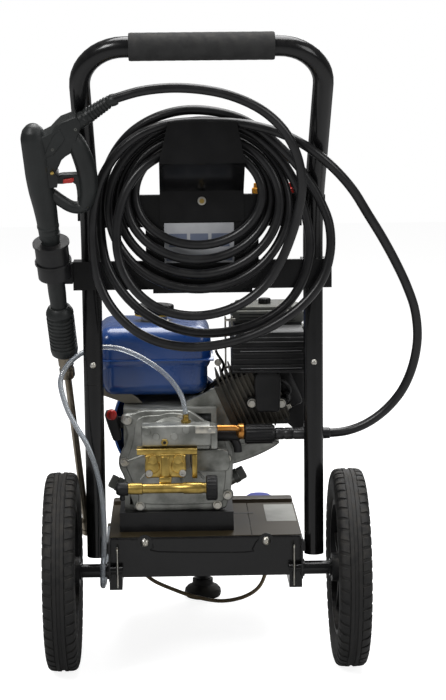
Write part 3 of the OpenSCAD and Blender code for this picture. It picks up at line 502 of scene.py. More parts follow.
shades = (("soap", (0.01, 0.01, 0.01)), ("green", (0.02, 0.2, 0.04)), ("yellow", (0.85, 0.33, 0.01)),
    ("white", (0.75, 0.74, 0.7)), ("red", (0.55, 0.02, 0.01)))
for (name, shade), x in zip(shades, (-143, -108, 83, 108.5, 134)):
    plastic = finish(name + "_plastic", shade, rough=0.3, bump=0.08)
    here = at(x, 3, 0)
    body = [(730.5, 0), (730.5, 7), (731.2, 7.5), (737.5, 7.5), (739, 6.4), (739.4, 4.9), (745.4, 4.6),
        (746, 3.8), (746, 1.4), (743, 1.2), (743, 0)]
    stem = [(708, 0), (708, 4.6), (709, 5.3), (714, 5.3), (715, 4.4), (718, 4.4), (719, 5.4),
        (730.6, 5.4), (730.6, 0)]
    piece(name + "_tip", [(lathe(body, here, sides=24), plastic), (lathe(stem, here, sides=24), zinc)],
        name + "_nozzle", name + "_nozzle")

# ---- Wheels ----
# Each wheel is a moulded black rim with ribs, turning freely on a stub axle. The tyre is solid
# rubber with two ribs round its middle and a row of lugs over each shoulder.
tyre_rubber = finish("tyre_rubber", (0.009, 0.009, 0.009), (0.015, 0.0145, 0.014), rough=0.5,
    spread=0.2, grain=700, bump=0.35, dust=0.3, shine=0.35, dust_and_top_light_colour=(0.16, 0.145, 0.125))
rim_black = finish("rim_black", (0.007, 0.007, 0.0075), (0.012, 0.012, 0.013), shine=0.35, rough=0.32,
    spread=0.15, bump=0.15, dust=0.2)
LUGS = 52
half_pitch = radians(3.4)
lug_bm = bmesh.new()
section = [(9.5, 146.5, 152.2), (14, 146, 151.9), (18.5, 144, 150.9), (22, 141, 148),
    (24.2, 136, 141.5)]
rows = []
for i, (w, low, high) in enumerate(section):
    half = radians(2.6 - 0.05 * i)
    skew = radians(0.55) * i
    rows.append([lug_bm.verts.new(Vector((w, r * sin(skew + s * half),
        r * cos(skew + s * half))) / 1000) for r, s in ((low, -1), (low, 1), (high, 1), (high, -1))])
for a, b in zip(rows, rows[1:]):
    for k in range(4):
        lug_bm.faces.new((a[k], a[(k + 1) % 4], b[(k + 1) % 4], b[k]))
lug_bm.faces.new(rows[0][::-1])
lug_bm.faces.new(rows[-1])
bmesh.ops.bevel(lug_bm, geom=lug_bm.edges[:], offset=0.0006, segments=1, affect="EDGES")
right_lug = to_mesh(lug_bm)
left_lug = right_lug.copy()
left_lug.transform(Matrix.Diagonal((-1, 1, 1, 1)) @ Matrix.Rotation(half_pitch, 4, "X"))
left_lug.flip_normals()
for side, body in ((-1, "left_wheel"), (1, "right_wheel")):
    hub = at(220 * side, 0, 152.5)
    half = [(2.6, 150.9), (3.2, 152.5), (8.2, 152.4), (8.6, 150.7), (11.5, 150.7), (17.6, 149),
        (21.2, 145.8), (23.1, 140.8), (24.1, 134), (24.4, 126), (23, 112), (20.5, 104)]
    carcass = [(-x, r) for x, r in reversed(half)] + half + [(-20.5, 104)]
    turn = (2 * pi / LUGS, 0, 0)
    piece(body + "_tyre", made_of(tyre_rubber, lathe(carcass, hub, ACROSS, 104),
        repeat(right_lug, tyre_rubber, LUGS, turn, centre=hub),
        repeat(left_lug, tyre_rubber, LUGS, turn, centre=hub)), body, "left_tyre"
        if side < 0 else "right_tyre")
dress(rim_black, "left_rim", "right_rim")

# ---- Front foot ----
# A foot moulded from black rubber is pressed over the front leg's end. Its wide sole stands on
# the ground and holds the base level.
piece("rubber_foot", [(lathe([(0, 0), (0, 25), (1.5, 29), (4, 31), (9, 32), (15, 31), (20, 26.5),
    (24, 18.6), (27, 17.9), (32.9, 17.9), (32.9, 0)], at(0, 400, 0)), tyre_rubber)], "trolley",
    "front_foot")

# ---- Engine castings ----
# The crankcase, its side cover and the finned barrel are die-cast aluminium, left as cast and a
# little grimy. The cover is held by a ring of flanged bolts; the barrel and head are painted dark.
cast = finish("cast_aluminium", (0.2, 0.205, 0.188), (0.41, 0.415, 0.39), rough=0.3, spread=0.25,
    metal=0.8, patch=40, grain=800, bump=0.4, dust=0.1, dust_and_top_light_colour=(0.25, 0.23, 0.19))
dark_fins = finish("dark_fins", (0.05, 0.049, 0.045), (0.12, 0.11, 0.09), rough=0.3, spread=0.2,
    metal=0.85, patch=35, grain=600, bump=0.3, dust=0.15)
black = finish("soft_black", (0.006, 0.006, 0.0065), (0.012, 0.012, 0.013), rough=0.34, spread=0.18,
    grain=700, bump=0.2, dust=0.06, shine=0.35)
steel = finish("turned_steel", (0.3, 0.3, 0.31), (0.4, 0.4, 0.41), rough=0.3, spread=0.15, metal=1,
    grain=600)
dress(steel, "crankshaft", "flywheel", "piston")
dress(cast, "crankcase")
dress(dark_fins, "cylinder_block")


# Carries what is drawn from the axle over to the foot
INTO_PART = Matrix.Translation((0, -FOOT_Y / 1000, 0))


def slab(outlines, y0, y1, soft=1.5, place=INTO_PART, steps=2):
    curve = bpy.data.curves.new("outline", "CURVE")
    curve.dimensions = "2D"
    curve.fill_mode = "BOTH"
    curve.extrude = (y1 - y0) / 2000 - soft / 1000
    curve.bevel_depth = soft / 1000
    curve.bevel_resolution = steps
    curve.offset = -soft / 1000
    for points in outlines:
        s = curve.splines.new("POLY")
        s.points.add(len(points) - 1)
        for p, q in zip(s.points, points):
            p.co = (q[0] / 1000, q[1] / 1000, 0, 1)
        s.use_cyclic_u = True
    mesh = settled(add_object("outline", curve))
    stand = Matrix(((1, 0, 0, 0), (0, 0, -1, (y0 + y1) / 2000), (0, 1, 0, 0), (0, 0, 0, 1)))
    mesh.transform(place @ stand)
    bm = bmesh.new()
    bm.from_mesh(mesh)
    bmesh.ops.remove_doubles(bm, verts=bm.verts, dist=1e-6)
    return to_mesh(bm)


def ring(points):
    return [tuple(p) for p in smooth([(x, z, 0) for x, z in points], 4, True)]


def flange_bolt(x, y, z, across=9, high=5, away=BACK):
    return made_of(zinc, lathe([(0, 0), (0, across * 0.72), (1.2, across * 0.7), (1.6, 0)], at(x, y, z),
        away, 24), hexagon(at(x, y, z) + Vector(away) * 0.0012, away, across, high))


# The crankshaft's line, which the cover, barrel, starter and pump are all set on
SHAFT_X, SHAFT_Z = -50, 338


def on_shaft(y):
    return at(SHAFT_X, y, SHAFT_Z)


outline = ring([(-96, 391), (-60, 391.5), (-28, 391), (-14, 385), (2, 374), (22, 366), (36, 350),
    (44.5, 324), (44.5, 296), (41, 262), (36, 244), (26, 233), (-30, 232.5), (-104, 233), (-113, 246),
    (-125, 285), (-132.5, 303), (-132.5, 318), (-125, 334), (-119, 352), (-122, 366), (-129, 376),
    (-124, 386), (-110, 387)])
inner = ring([(-94, 383), (-32, 383), (-18, 376), (0, 366), (20, 356), (32, 342), (35, 322), (34, 296),
    (30, 262), (18, 244), (-92, 244), (-104, 258), (-116, 288), (-122, 308), (-114, 332), (-109, 352),
    (-107, 368)])
spots = [(-119, 377), (-37, 378), (-124, 311), (-101, 241), (35, 314), (20, 241), (36, 256)]
parts = made_of(cast, slab([outline], 58, 70, 2), slab([inner], 55.2, 59, 1.6))
for x, z in spots:
    parts.append((lathe([(0, 0), (0, 9.5), (7, 8.6), (8, 7.6), (8, 0)], at(x, 64, z), BACK, 28), cast))
    parts += flange_bolt(x, 56.2, z, 9.5, 6)
for a in range(200, 341, 28):
    c, s = cos(radians(a)), sin(radians(a))
    parts.append((tube([at(SHAFT_X + 40 * c, 55.6, SHAFT_Z + 40 * s),
        at(SHAFT_X + 74 * c, 56.2, SHAFT_Z + 74 * s)], 0.0022, 8), cast))
parts.append((lathe([(0, 0), (0, 50), (2.5, 49), (3, 44), (3, 0)], on_shaft(58), BACK, 64), cast))
piece("engine_side_cover", parts, "trolley", "side_cover")

# The head is closed by a black pressed cover with a bright gasket edge, and carries a spark plug
tilt = Matrix.Translation(on_shaft(140)) @ Matrix.Rotation(radians(66), 4, "Y")


def on_barrel(mesh):
    mesh.transform(tilt)
    return mesh


def raw_block(lo, hi, soft):
    mesh = block(lo, hi, soft)
    mesh.transform(INTO_PART.inverted())
    return mesh


parts = [(on_barrel(raw_block((-39, -37, 188), (35, 37, 213.5), 6)), black),
    (on_barrel(raw_block((-40, -38, 185.2), (36, 38, 187.6), 0.6)), zinc),
    (on_barrel(raw_block((-30, -28, 212), (26, 28, 213.9), 1)), black)]
for x, y in ((-34, -32), (-34, 32), (30, -32), (30, 32)):
    spot = tilt @ Vector((x / 1000, y / 1000, 0.187))
    parts.append((hexagon(spot, tilt.to_3x3() @ Vector((0, 0, 1)), 9, 6), zinc))
under = ring([(29, 342), (62, 341), (92, 334), (119, 334), (114, 327), (92, 315), (67, 305), (43, 298),
    (29, 298)])
parts.append((slab([under], 88, 128, 3), cast))
fin = slab([[(44, 330), (108, 334), (104, 327), (44, 304)]], 84, 88.6, 0.8)
parts.append((fin, cast))
guide = [(95, 438), (161, 437), (161, 340), (150, 340), (136, 354), (94, 354)]
parts.append((slab([guide], 132, 137, 1.5), black))
piece("head_cover", parts, "trolley", "valve_cover")

# ---- Exhaust and intake ----
# A black ribbed heat shield covers the muffler, which bolts to the exhaust port by an elbow. The
# grey air cleaner has louvred sides, and its lid is held by one black knob.
shield = made_of(black, slab([[(45.2, 447), (45.2, 499), (49, 504), (163, 504), (166.8, 499),
    (166.8, 447)]], 60.5, 150, 2.5), block((53, 62, 500), (159, 148, 511.8), 4))
rib = slab([[(46, 449.6), (46, 452.4), (166, 452.4), (166, 449.6)]], 56.3, 63, 1.2)
shield.append((repeat(rib, black, 6, step=(0, 0, 0.009)), black))
slot_edge = slab([[(58, 454.6), (58, 455.6), (154, 455.6), (154, 454.6)]], 59.8, 61, 0.3)
shield.append((repeat(slot_edge, zinc, 4, step=(0, 0, 0.0135)), steel))
shield.append((slab([ring([(84, 386), (100, 385.5), (117, 386), (119.5, 400), (118, 446), (83, 446),
    (81.5, 400)])], 64, 84, 3), black))
for x, z in ((76, 398), (122, 397)):
    shield += [(lathe([(0, 0), (0, 9), (6, 9), (7, 8), (7, 0)], at(x, 84, z), BACK, 24), black)]
    shield += flange_bolt(x, 77, z, 10, 6)
shield.append((slab([[(79, 388), (121, 388), (126, 398), (121, 404), (79, 404), (74, 398)]], 78, 84, 1),
    black))
piece("muffler_shield", shield, "trolley", "muffler")
grey = finish("cleaner_grey", (0.06, 0.062, 0.055), (0.085, 0.088, 0.078), rough=0.42, spread=0.15,
    patch=25, bump=0.22, dust=0.3, dust_and_top_light_colour=(0.3, 0.28, 0.22))
parts = [(block((46.3, 165.3, 480), (165.7, 284.7, 506), 3), grey),
    (block((52, 171, 504), (160, 279, 514), 1), black),
    (block((48.3, 167.3, 512), (163.7, 282.7, 532), 4), grey),
    (block((56, 175, 529), (156, 275, 537.8), 4), grey)]
louvre = block((58, 165, 484.5), (154, 168, 487), 0.8)
parts.append((repeat(louvre, grey, 4, step=(0, 0, 0.0052)), black))
parts.append((repeat(block((60, 167, 515), (150, 169, 517), 0.7), grey, 3, step=(0, 0, 0.005)), black))
piece("cleaner_box", parts, "trolley", "air_cleaner")
knob_at = at(103, 215, 0)
flute = lathe([(538.6, 0), (538.6, 1.3), (545, 1.3), (546.6, 0.6), (546.6, 0)], Vector((0.0088, 0, 0)),
    sides=8)
knob = made_of(black, lathe([(538.4, 0), (538.4, 8.8), (545.5, 8.8), (547, 7.4), (547.2, 0)], knob_at,
    sides=32), repeat(flute, black, 16, turn=(0, 0, 2 * pi / 16), centre=knob_at))
piece("cleaner_knob", knob, "air_cleaner_knob", "air_cleaner_knob")
dress(cast, "carburettor")
strap = [(block((x - 1.6, 150, 432), (x + 1.6, 153, 526), 0.5), zinc) for x in (37.5, 47.5)]
strap += [(block((36, 149, z - 2), (54, 152, z + 2), 0.5), zinc) for z in (444, 478, 500, 520)]
strap.append((tube([at(*p) for p in smooth([(30, 160, 432), (34, 154, 448), (24, 150, 466),
    (22, 150, 472)], 3)], 0.0022, 10), black))
strap += flange_bolt(25, 149, 452, 8, 5)
piece("governor_linkage", strap, "trolley")
lead = smooth([(132, 100, 404), (136, 92, 416), (126, 88, 430), (104, 90, 440), (70, 96, 446),
    (40, 110, 436), (16, 130, 420), (4, 150, 404)], 4)
piece("plug_lead", made_of(black, tube([at(*p) for p in lead], 0.0033, 10),
    lathe([(0, 5.5), (0, 7.5), (12, 7.5), (16, 5.5), (22, 4.2), (22, 0)], at(132, 108, 398),
    (0, -0.8, 0.6), 20)), "trolley")

# ---- Fuel tank and recoil starter ----
# The fuel tank is two deep steel pressings seamed round the middle, enamelled blue. The recoil
# housing in front of the flywheel matches it, with cooling slots and a rope grip.
# Its dust colour is a paler blue, so the flecks on its upward faces are painted light: a painted
# lighter top
enamel = finish("blue_enamel", (0.006, 0.045, 0.2), (0.012, 0.065, 0.26), rough=0.2, spread=0.14,
    patch=12, grain=300, bump=0.06, coat=0.7, dust=0.16, dust_and_top_light_colour=(0.2, 0.26, 0.36))
filler = at(-76, 200, 0)
tank = made_of(enamel, block((-167.8, 105.2, 440), (13.8, 289.8, 514.8), 24, 8),
    block((-160, 108, 405.2), (8, 210, 480), 20, 8), block((-172, 101, 461.6), (18, 294, 464.4),
    1.2)) + made_of(zinc, lathe([(505, 0), (505, 26), (514, 25), (516, 22), (522.5, 22), (522.5, 0)],
    filler, sides=40))
piece("blue_tank", tank, "trolley", "fuel_tank")
yellow = finish("amber_ring", (0.5, 0.3, 0.02))
grip_rib = lathe([(527, 0), (527, 1.9), (538, 1.9), (540, 0.9), (540, 0)], Vector((0.0302, 0, 0)),
    sides=8)
cap = [(lathe([(523.6, 0), (523.6, 28), (525, 30.6), (538, 30.6), (540.6, 28), (541, 24), (541, 0)],
    filler), black), (repeat(grip_rib, black, 30, turn=(0, 0, pi / 15), centre=filler), black),
    (lathe([(523.5, 0), (523.5, 31.4), (525.6, 31.4), (525.6, 0)], filler), yellow)]
piece("tank_cap", cap, "fuel_cap", "fuel_cap")
housing = [(lathe([(0, 93.5), (0, 96.8), (40, 96.8), (50, 94), (55, 86), (56.5, 76), (57, 64),
    (63, 61.5), (66.6, 58), (66.8, 0), (63, 0), (62, 55), (53, 62), (51, 82), (44, 92), (0, 93.5)],
    on_shaft(215.2), FRONT, 72), enamel)]
cut = slab([[(-2.6, 63), (2.6, 63), (3.6, 84), (-3.6, 84)]], 271.2, 273, 0.6, Matrix())
housing.append((repeat(cut, black, 24, turn=(0, pi / 12, 0), centre=on_shaft(-1.2)), black))
piece("starter_housing", housing, "trolley", "recoil_housing")
piece("starter_grip", made_of(black, block((-28, 284.3, 366), (12, 295.8, 378), 4, 4),
    lathe([(0, 5), (4, 4.4), (4, 0)], at(-8, 282, 372), FRONT, 20)), "trolley", "recoil_grip")
bracket = finish("tan_bracket", (0.2, 0.185, 0.15), (0.27, 0.25, 0.2), rough=0.45, spread=0.2,
    metal=0.3, bump=0.2)
piece("shroud_edge", [(slab([[(-163, 426), (-163, 408), (-122, 393), (-96, 393), (-104, 402),
    (-140, 426)]], 118, 126, 1.2), bracket)], "trolley")

# ---- Engine switch and dipsticks ----
# A red rocker on a small black box stops the engine. Two square-headed black plugs close the oil
# fillers, one on each side of the crankcase.
plug_grey = finish("plug_grey", (0.07, 0.072, 0.066), (0.11, 0.112, 0.1), grain=600, bump=0.2)
red = finish("signal_red", (0.42, 0.012, 0.008), (0.5, 0.03, 0.02), rough=0.3, bump=0.08)
lean_box = slab([ring([(-154, 384), (-148, 390), (-140, 390), (-135, 382), (-128.6, 350), (-131, 344),
    (-139, 343), (-143, 348)])], 64, 84, 3)
piece("switch_case", [(lean_box, black), (block((-134, 75, 361), (-125.4, 83, 379), 1), black),
    (lathe([(0, 3), (3.8, 3), (3.8, 0)], at(-143, 62, 386), BACK, 16), steel)], "trolley", "switch_box")
piece("stop_rocker", made_of(red, lathe([(0, 3.1), (0, 7.4), (1.5, 8), (7.5, 8), (9, 7), (9.4, 5),
    (9.4, 0)], at(-143, 61.5, 386), BACK, 28), block((-144.8, 48.2, 379.5), (-141.2, 53, 392.5), 1.2)),
    "engine_switch", "engine_switch")
slope = radians(62)
for side, body in ((-1, "left_dipstick"), (1, "right_dipstick")):
    base = at(-121 if side < 0 else 16, 96, 260)
    out = Vector((side * sin(slope), 0, cos(slope)))
    rise = 20 if side < 0 else 44
    square = [(rise - 1, 0), (rise - 1, 11), (rise, 12.6), (rise + 9.4, 12.6), (rise + 10.3, 11.4),
        (rise + 10.3, 0)]
    head = lathe(square, (0, 0, 0), (0, 0, 1), 4)
    head.transform(Matrix.Translation(base) @ Matrix.Rotation(side * slope, 4, "Y")
        @ Matrix.Rotation(radians(45), 4, "Z"))
    piece(body + "_plug", made_of(plug_grey, head, lathe([(rise - 21, 0), (rise - 21, 5.9),
        (rise - 9, 5.9), (rise - 9, 11.5), (rise - 1, 11.5), (rise - 1, 0)], base, out, 20)), body,
        body)

# ---- Pump ----
# An axial pump is bolted to the engine. Its head is forged brass with a screwed-in inlet pipe, and
# the outlet runs through a black elbow to the hose's ribbed swivel nut.
parts = made_of(cast, block((-96.5, -4.8, 346), (10.5, 29.5, 378.5), 3, 3),
    block((-92, 4, 340), (8, 28, 350), 2), lathe([(0, 0), (0, 39.5), (28, 39.5), (30, 44), (36, 44),
    (36, 0)], on_shaft(18.6), FRONT, 64), block((10, -4.5, 341.5), (19.8, 49.5, 371.5), 2),
    slab([ring([(-20, 306), (-21, 334), (-8, 336.6), (30, 336.4), (37.6, 328), (37.4, 306), (24, 302.6),
    (-8, 302.4)])], 14.4, 39.6, 2)) + made_of(zinc, block((-14, -6, 366), (17, 4, 377), 1))
for x, z in ((-88, 370), (-74, 362), (-46, 362), (-28, 372)):
    parts.append((lathe([(0, 0), (0, 6), (3, 5.2), (3, 0)], at(x, -4, z), BACK, 24), cast))
parts += flange_bolt(8, -6, 371, 6, 3)
parts += [(hexagon(at(-61, -4.6, 353), BACK, 10, 3), brass),
    (lathe([(3, 0), (3, 2.6), (3.4, 2.6), (3.4, 0)], at(-61, -4.6, 353), BACK, 16), black),
    (hexagon(at(-28, 20, 378.2), (0, 0, 1), 13, 5), brass),
    (lathe([(383, 0), (383, 4.6), (386, 4.9), (386.4, 4.2), (388.6, 4.8), (389, 4.2), (391.8, 4.4),
    (391.8, 0)], at(-28, 20, 0), sides=24), brass)]
piece("pump_casting", parts, "trolley", "pump_body")
head = made_of(brass, slab([[(-103.5, 335.5), (-103.5, 344.6), (-11.5, 344.6), (-11.5, 335.5)]], -14.6,
    13.5, 1.2), slab([ring([(-90, 302), (-90.5, 330), (-86, 336), (-34, 336), (-29.6, 330), (-30, 302),
    (-44, 300.6), (-76, 300.6)])], -17, 13.5, 2), block((-66.5, -25.6, 291), (-54.5, 0, 334.5), 2),
    block((-19.5, -11.6, 297.5), (-11.5, 9.5, 334.8), 1.5), block((-70, -29, 294), (-51, -10, 304), 2))
for x in (-79, -41):
    head.append((lathe([(0, 0), (0, 11), (2, 10.4), (3, 8), (3, 0)], at(x, -16.6, 318), BACK, 32),
        brass))
    head.append((lathe([(0, 0), (0, 7), (5, 6.4), (5, 0)], at(x, -16.6, 329), BACK, 24), brass))
for x in (-85, -34):
    head.append((lathe([(0, 0), (0, 5.6), (5.6, 5.6), (6.2, 5), (6.2, 2.8), (3.6, 2.6), (3.6, 0)],
        at(x, -15.8, 308), BACK, 28), zinc))
piece("brass_head", head, "trolley", "pump_head")
inlet = at(0, -30, 287)
pipe = [(-117, 0), (-117, 8.4), (-112, 8.9), (-96, 8.9), (-95, 7.6), (-56, 7.6), (-34, 7.7), (-32, 8.9),
    (-6, 8.9), (-4, 8), (0.5, 8), (0.5, 8.9), (11.6, 8.9), (11.6, 0)]
stop = [(-135.6, 0), (-135.6, 7), (-133, 9.6), (-130, 10.3), (-118, 10.3), (-117.2, 9.6), (-117.2, 0)]
piece("inlet_pipe", [(lathe(pipe, inlet, ACROSS, 40), brass), (lathe(stop, inlet, ACROSS, 32), black),
    (lathe([(0, 0), (0, 4), (9, 4), (10, 3), (10, 0)], at(-126, -30, 279), (0, 0, -1), 20), black)],
    "trolley", "inlet_manifold")
collar = lathe([(1.2, 9.3), (1.2, 17), (2.5, 18.6), (17, 18.6), (18.4, 17.4), (18.4, 11.2),
    (12.3, 11.2), (12.3, 9.3), (1.2, 9.3)], inlet, ACROSS, 48)
ridge = lathe([(3, 0), (3, 1.5), (16.4, 1.5), (16.4, 0)], (0, 0, 0.0179), ACROSS, 8)
piece("inlet_collar", made_of(black, collar, repeat(ridge, black, 22, turn=(pi / 11, 0, 0),
    centre=inlet)), "hose_connector", "hose_connector")
copper = finish("amber_pipe", (0.62, 0.27, 0.06), (0.7, 0.36, 0.12), rough=0.26, spread=0.15, metal=0.9)
bend = [at(*p) for p in smooth([(20.5, 22, 369), (40, 22, 369), (51, 23, 368), (55, 30, 364),
    (56, 38, 359)], 2)]
piece("outlet_bend", made_of(black, lathe([(0, 0), (0, 10.6), (34, 10.6), (35.6, 9.4), (35.6, 7.9),
    (55.8, 7.9), (55.8, 0)], at(20.2, 44, 355), ACROSS, 40),
    tube([at(*p) for p in smooth([(44, 44, 350), (49, 44, 343), (52, 44, 334), (52.5, 44, 327)], 2)],
    0.0066, 18)) + made_of(copper, tube(bend, 0.0046, 18),
    lathe([(0, 4), (1, 8), (4, 11.4), (9, 12.4), (12, 11.6), (12.4, 8), (12.4, 0)], at(49.5, 38, 361),
    ACROSS, 32)), "trolley", "outlet_elbow")
nut = lathe([(0, 8.1), (0, 13), (1.5, 14.2), (44, 14.2), (46.6, 12.6), (46.8, 8.1), (0, 8.1)],
    at(63.1, 44, 355), ACROSS, 48)
groove = raw_block((66, -1.6, 14), (106, 1.6, 15.4), 0.6)
piece("swivel_nut", made_of(black, nut, repeat(groove, black, 16, turn=(pi / 8, 0, 0),
    centre=at(0, 44, 355))), "hose_nut", "hose_nut")

# ---- Detergent tank ----
# A smoky blow-moulded bottle hangs at the front of the base. It has a blue screw cap. The tray
# is closed by a smoked plastic deck in two sheets, with a blank pale label stuck on it.
smoky = finish("smoky_plastic", (0.05, 0.036, 0.02), (0.075, 0.055, 0.03), rough=0.3, spread=0.15,
    patch=8, grain=200, bump=0.08, coat=0.3, clear=0.25)
cap_blue = finish("cap_blue", (0.015, 0.03, 0.25), rough=0.3, bump=0.08)
tank = slab([[(-404.8, 138.3), (-404.8, 170), (-400, 172), (-300, 180), (-280, 205), (-278, 205.8),
    (-250.2, 205.8), (-250.2, 138.3)]], -149.3, 149.3, 4, INTO_PART
    @ Matrix.Rotation(radians(-90), 4, "Z"))
neck = at(97, 343, 0)
piece("detergent_bottle", made_of(smoky, tank, block((-159.6, 262.4, 152.4), (-149, 273.6, 163.6), 1.5),
    lathe([(0, 4.2), (3, 4.4), (6, 3.6), (16, 4.2), (16, 0)], at(-156, 258, 158), FRONT, 20),
    lathe([(167, 0), (167, 16.6), (178.6, 16.6), (178.6, 0)], neck)), "trolley", "detergent_tank")
ridge = lathe([(180.5, 0), (180.5, 1.2), (191, 1.2), (191, 0)], Vector((0.0196, 0, 0)), sides=8)
piece("bottle_cap", made_of(cap_blue, lathe([(179.5, 0), (179.5, 19.5), (191, 19.5), (193, 18),
    (193.3, 0)], neck), repeat(ridge, cap_blue, 36, turn=(0, 0, pi / 18), centre=neck)),
    "detergent_cap", "detergent_cap")
paper = finish("blank_label", (0.34, 0.34, 0.31), (0.42, 0.42, 0.39), rough=0.45, bump=0.04)
deck = finish("smoked_deck", (0.045, 0.034, 0.017), (0.06, 0.046, 0.024), rough=0.3, spread=0.2,
    patch=9, grain=300, bump=0.06, shine=0.2)
piece("tray_deck", [(block((-148.6, 13, 200.9), (71.4, 239, 201.9), 0.4, 1), deck),
    (block((72.2, 13, 200.9), (148.6, 239, 201.9), 0.4, 1), deck),
    (block((42, 161, 201.8), (80, 168, 202.2), 0.15, 1), black),
    (block((99, 104, 201.7), (147, 224, 202.3), 0.2, 1), paper)], "trolley")

# ---- Spray gun and lance ----
# The gun is a pair of moulded shells round a brass valve, with a loop guard, a trigger and a red
# lock. Its lance has a ribbed grip and a steel pipe that ends in a quick coupler.
gun_black = finish("gun_black", (0.009, 0.0105, 0.0105), (0.016, 0.0185, 0.0185), rough=0.34,
    spread=0.15, patch=20, grain=1100, bump=0.35, dust=0.06, shine=0.4)
gun_frame = (Matrix.Translation(at(-223, -36, 640)) @ Matrix.Rotation(radians(-4.1), 4, "Y")
    @ Matrix.Rotation(radians(24.2), 4, "X"))


def gun(x, y, z):
    return gun_frame @ (Vector((x, y, z)) / 1000)


def gun_way(x, y, z):
    return gun_frame.to_3x3() @ Vector((x, y, z))


butt, barrel = gun(0, 0, 0), gun_way(0, 0, 1)


def limb(points):
    spine = smooth([p[:3] for p in points], 2)
    marks = [0]
    for a, b in zip(points, points[1:]):
        marks.append(marks[-1] + (Vector(b[:3]) - Vector(a[:3])).length)

    def width(t):
        k = max(i for i in range(len(marks) - 1) if marks[i] <= t * marks[-1])
        share = (t * marks[-1] - marks[k]) / (marks[k + 1] - marks[k])
        return (points[k][3] + (points[k + 1][3] - points[k][3]) * share) / 1000

    return tube([gun(*p) for p in spine], width, 28)


column = limb([(-1, 0, 36, 14.8), (-1, 0, 62, 16), (-2, 0, 88, 17.4), (-4, 0, 114, 18.8),
    (-5, 0, 140, 19.6), (-5, 0, 172, 19.8), (-6, 0, 198, 18.8), (-6, 0, 210, 15.5), (-6, 0, 217, 10.5),
    (-6, 0, 221, 5), (-6, 0, 222, 1)])
loop = limb([(44, 0, 204, 12), (54, 0, 186, 13.5), (61, 0, 162, 14.4), (65, 0, 136, 14.6),
    (64, 0, 110, 13.6), (58, 0, 90, 11), (52, 0, 80, 8)])
strut = limb([(10, 0, 108, 9), (24, 0, 94, 9), (37, 0, 84, 9), (50, 0, 82, 9.4), (60, 0, 88, 10)])
bridge = [(2, 204), (0, 176), (8, 150), (20, 146), (27, 158), (31, 166), (37, 171), (46, 176),
    (56, 196), (66, 222), (58, 234), (36, 227), (29, 221), (20, 212)]
parts = made_of(gun_black, column, loop, strut, slab([bridge], -13, 13, 4, gun_frame, 3),
    slab([[(4, 172), (22, 178), (40, 200), (34, 218), (22, 206)]], -14.4, 14.4, 2, gun_frame),
    slab([[(-22, 160), (-22.6, 192), (-20, 196), (-16, 192), (-16, 160)]], -11, 11, 3, gun_frame),
    lathe([(-83, 0), (-83, 12.4), (-60, 13.4), (30, 13.4), (36, 14.6), (44, 15.6), (47, 0)], butt,
    barrel, 36), lathe([(0, 0), (0, 15.6), (2, 16.4), (5, 16.4), (7, 15.6), (7, 0)], gun(-1, 0, 52),
    barrel, 36), slab([[(8, 124), (8, 160), (12, 160), (24, 140), (20, 124)]], -14, 14, 1.5,
    gun_frame)) + made_of(brass, lathe([(0, 0), (0, 2.4), (4, 2.6), (4.6, 1.6), (4.6, 0)],
    gun(15, -13.6, 150), gun_way(0.2, -1, 0), 14))
way = Vector((52, 0, 31)).normalized()
boot = [(0, 0), (0, 11.6), (14, 11.8), (16, 10.4), (19, 10.4), (20, 11.6)]
for k in range(7):
    boot += [(22 + 5 * k, 11.3 - 0.3 * k), (24.4 + 5 * k, 11.2 - 0.3 * k), (25 + 5 * k, 9.8 - 0.3 * k),
        (26.4 + 5 * k, 9.8 - 0.3 * k)]
boot += [(58.5, 8.8), (60.3, 8), (60.3, 0)]
parts.append((lathe(boot, gun(58, 0, 218), gun_way(*way), 32), gun_black))
parts.append((lathe([(-8, 0), (-6, 6.6), (-2, 8.9), (3, 8.9), (7, 7.6), (8, 0)], gun(112, 0, 249),
    (0.96, -0.1, 0.25), 28), gun_black))
for x, z, y in ((56, 214, 12.6), (20, 186, 14.2)):
    parts.append((lathe([(0, 0), (0, 2.4), (0.6, 2.2), (0.6, 1.2), (0.2, 1.1), (0.2, 0)], gun(x, -y, z),
        gun_way(0, -1, 0), 16), plug_grey))
piece("gun_shells", parts, "trolley", "gun_body")
blade = [(14.4, 126), (28, 124.6), (43, 125.4), (46.6, 122), (47.4, 112), (47, 101), (52, 97.6),
    (56.6, 104), (57.4, 118), (57.6, 130), (51.6, 138.4), (30, 139.4), (14.4, 137.6)]
piece("trigger_lever", [(slab([blade], -5.7, 5.7, 2, gun_frame, 3), gun_black)], "trigger",
    "gun_trigger")
piece("lock_tab", [(slab([[(28.4, 127.4), (41.8, 127.4), (45.6, 131), (44.7, 134.6), (30.2, 133.6)]],
    -9.5, -6.5, 0.8, gun_frame), red)], "trigger_lock", "trigger_lock")
grip = [(-169, 5.6), (-169, 17), (-166, 20), (-160, 21.2)]
for k in range(9):
    grip += [(-156 + 6.4 * k, 21.2), (-153.6 + 6.4 * k, 21.2), (-152.8 + 6.4 * k, 19.4),
        (-150.8 + 6.4 * k, 19.4)]
grip += [(-96, 21.2), (-92, 20.6), (-86, 17.6), (-83.2, 15), (-83.2, 5.6), (-169, 5.6)]
piece("ribbed_grip", [(lathe(grip, butt, barrel, 40), gun_black)], "trolley", "lance_grip")
lance = [(-516, 5.7), (-516, 8), (-515, 8.9), (-506, 8.9), (-505, 7.8), (-503, 7.8), (-502, 8.9),
    (-489, 8.9), (-487, 7.4), (-484, 5.4), (-212, 5.4), (-212, 9.6), (-208, 11.8), (-196, 11.8),
    (-194, 10.4), (-190, 10.4), (-188, 11.8), (-172, 11.8), (-169.2, 10.6), (-169.2, 5.3), (-84, 5.3),
    (-84, 0), (-498, 0), (-498, 5.7), (-516, 5.7)]
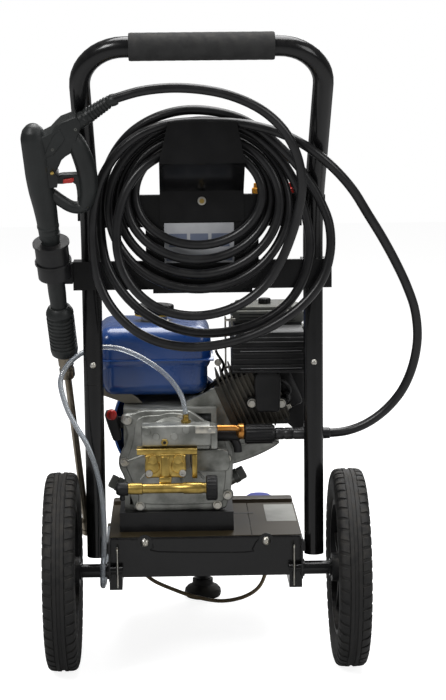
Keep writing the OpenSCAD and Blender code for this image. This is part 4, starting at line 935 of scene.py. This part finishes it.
piece("lance_pipe", [(lathe(lance, butt, barrel, 32),
    finish("lance_steel", (0.2, 0.17, 0.13), (0.32, 0.28, 0.22), rough=0.25, spread=0.2, metal=1))],
    "trolley", "lance")

# ---- Stage ----
# A plain pale floor lies under soft light from four large square lamps, with a pale, even
# surround that is brighter to the eye than the light it gives.
floor_mat = bpy.data.materials.new("pale_floor")
floor_mat.use_nodes = True
floor_nodes, floor_link = floor_mat.node_tree.nodes, floor_mat.node_tree.links.new
floor_shader = floor_nodes["Principled BSDF"]
preset(floor_shader, {"Base Color": (0.45, 0.45, 0.45, 1), "Roughness": 0.8,
    "Emission Color": (0.88, 0.88, 0.88, 1)})
seen = floor_nodes.new("ShaderNodeLightPath")
floor_link(seen.outputs["Is Camera Ray"], floor_shader.inputs["Emission Strength"])
floor_mesh = bpy.data.meshes.new("floor")
floor_mesh.from_pydata([(-8, -8, 0), (8, -8, 0), (8, 8, 0), (-8, 8, 0)], [], [(0, 1, 2, 3)])
floor_mesh.materials.append(floor_mat)
floor = add_object("floor", floor_mesh)
world = bpy.data.worlds.new("studio")
world.use_nodes = True
sky = world.node_tree.nodes["Background"]
preset(sky, {"Color": (1, 1, 1, 1)})
ray = world.node_tree.nodes.new("ShaderNodeLightPath")
glow = world.node_tree.nodes.new("ShaderNodeMapRange")
preset(glow, {"To Min": 0.16, "To Max": 1})
world.node_tree.links.new(ray.outputs["Is Camera Ray"], glow.inputs["Value"])
world.node_tree.links.new(glow.outputs["Result"], sky.inputs["Strength"])
bpy.context.scene.world = world
bpy.context.scene.view_settings.view_transform = "Standard"
for name, place, size, power in (("key", (-2.2, -3.2, 3.2), 1.3, 85),
        ("fill", (2.8, -2.6, 1.9), 1.6, 30), ("overhead", (0.3, 0.2, 3.4), 2.4, 130),
        ("back", (1.2, 3.2, 2.4), 2.0, 40)):
    light = add_object(name, bpy.data.lights.new(name, "AREA"))
    light.data.size = size
    light.data.energy = power
    light.location = place
    light.rotation_euler = (Vector((0, -0.3, 0.45)) - Vector(place)).to_track_quat("-Z", "Y").to_euler()
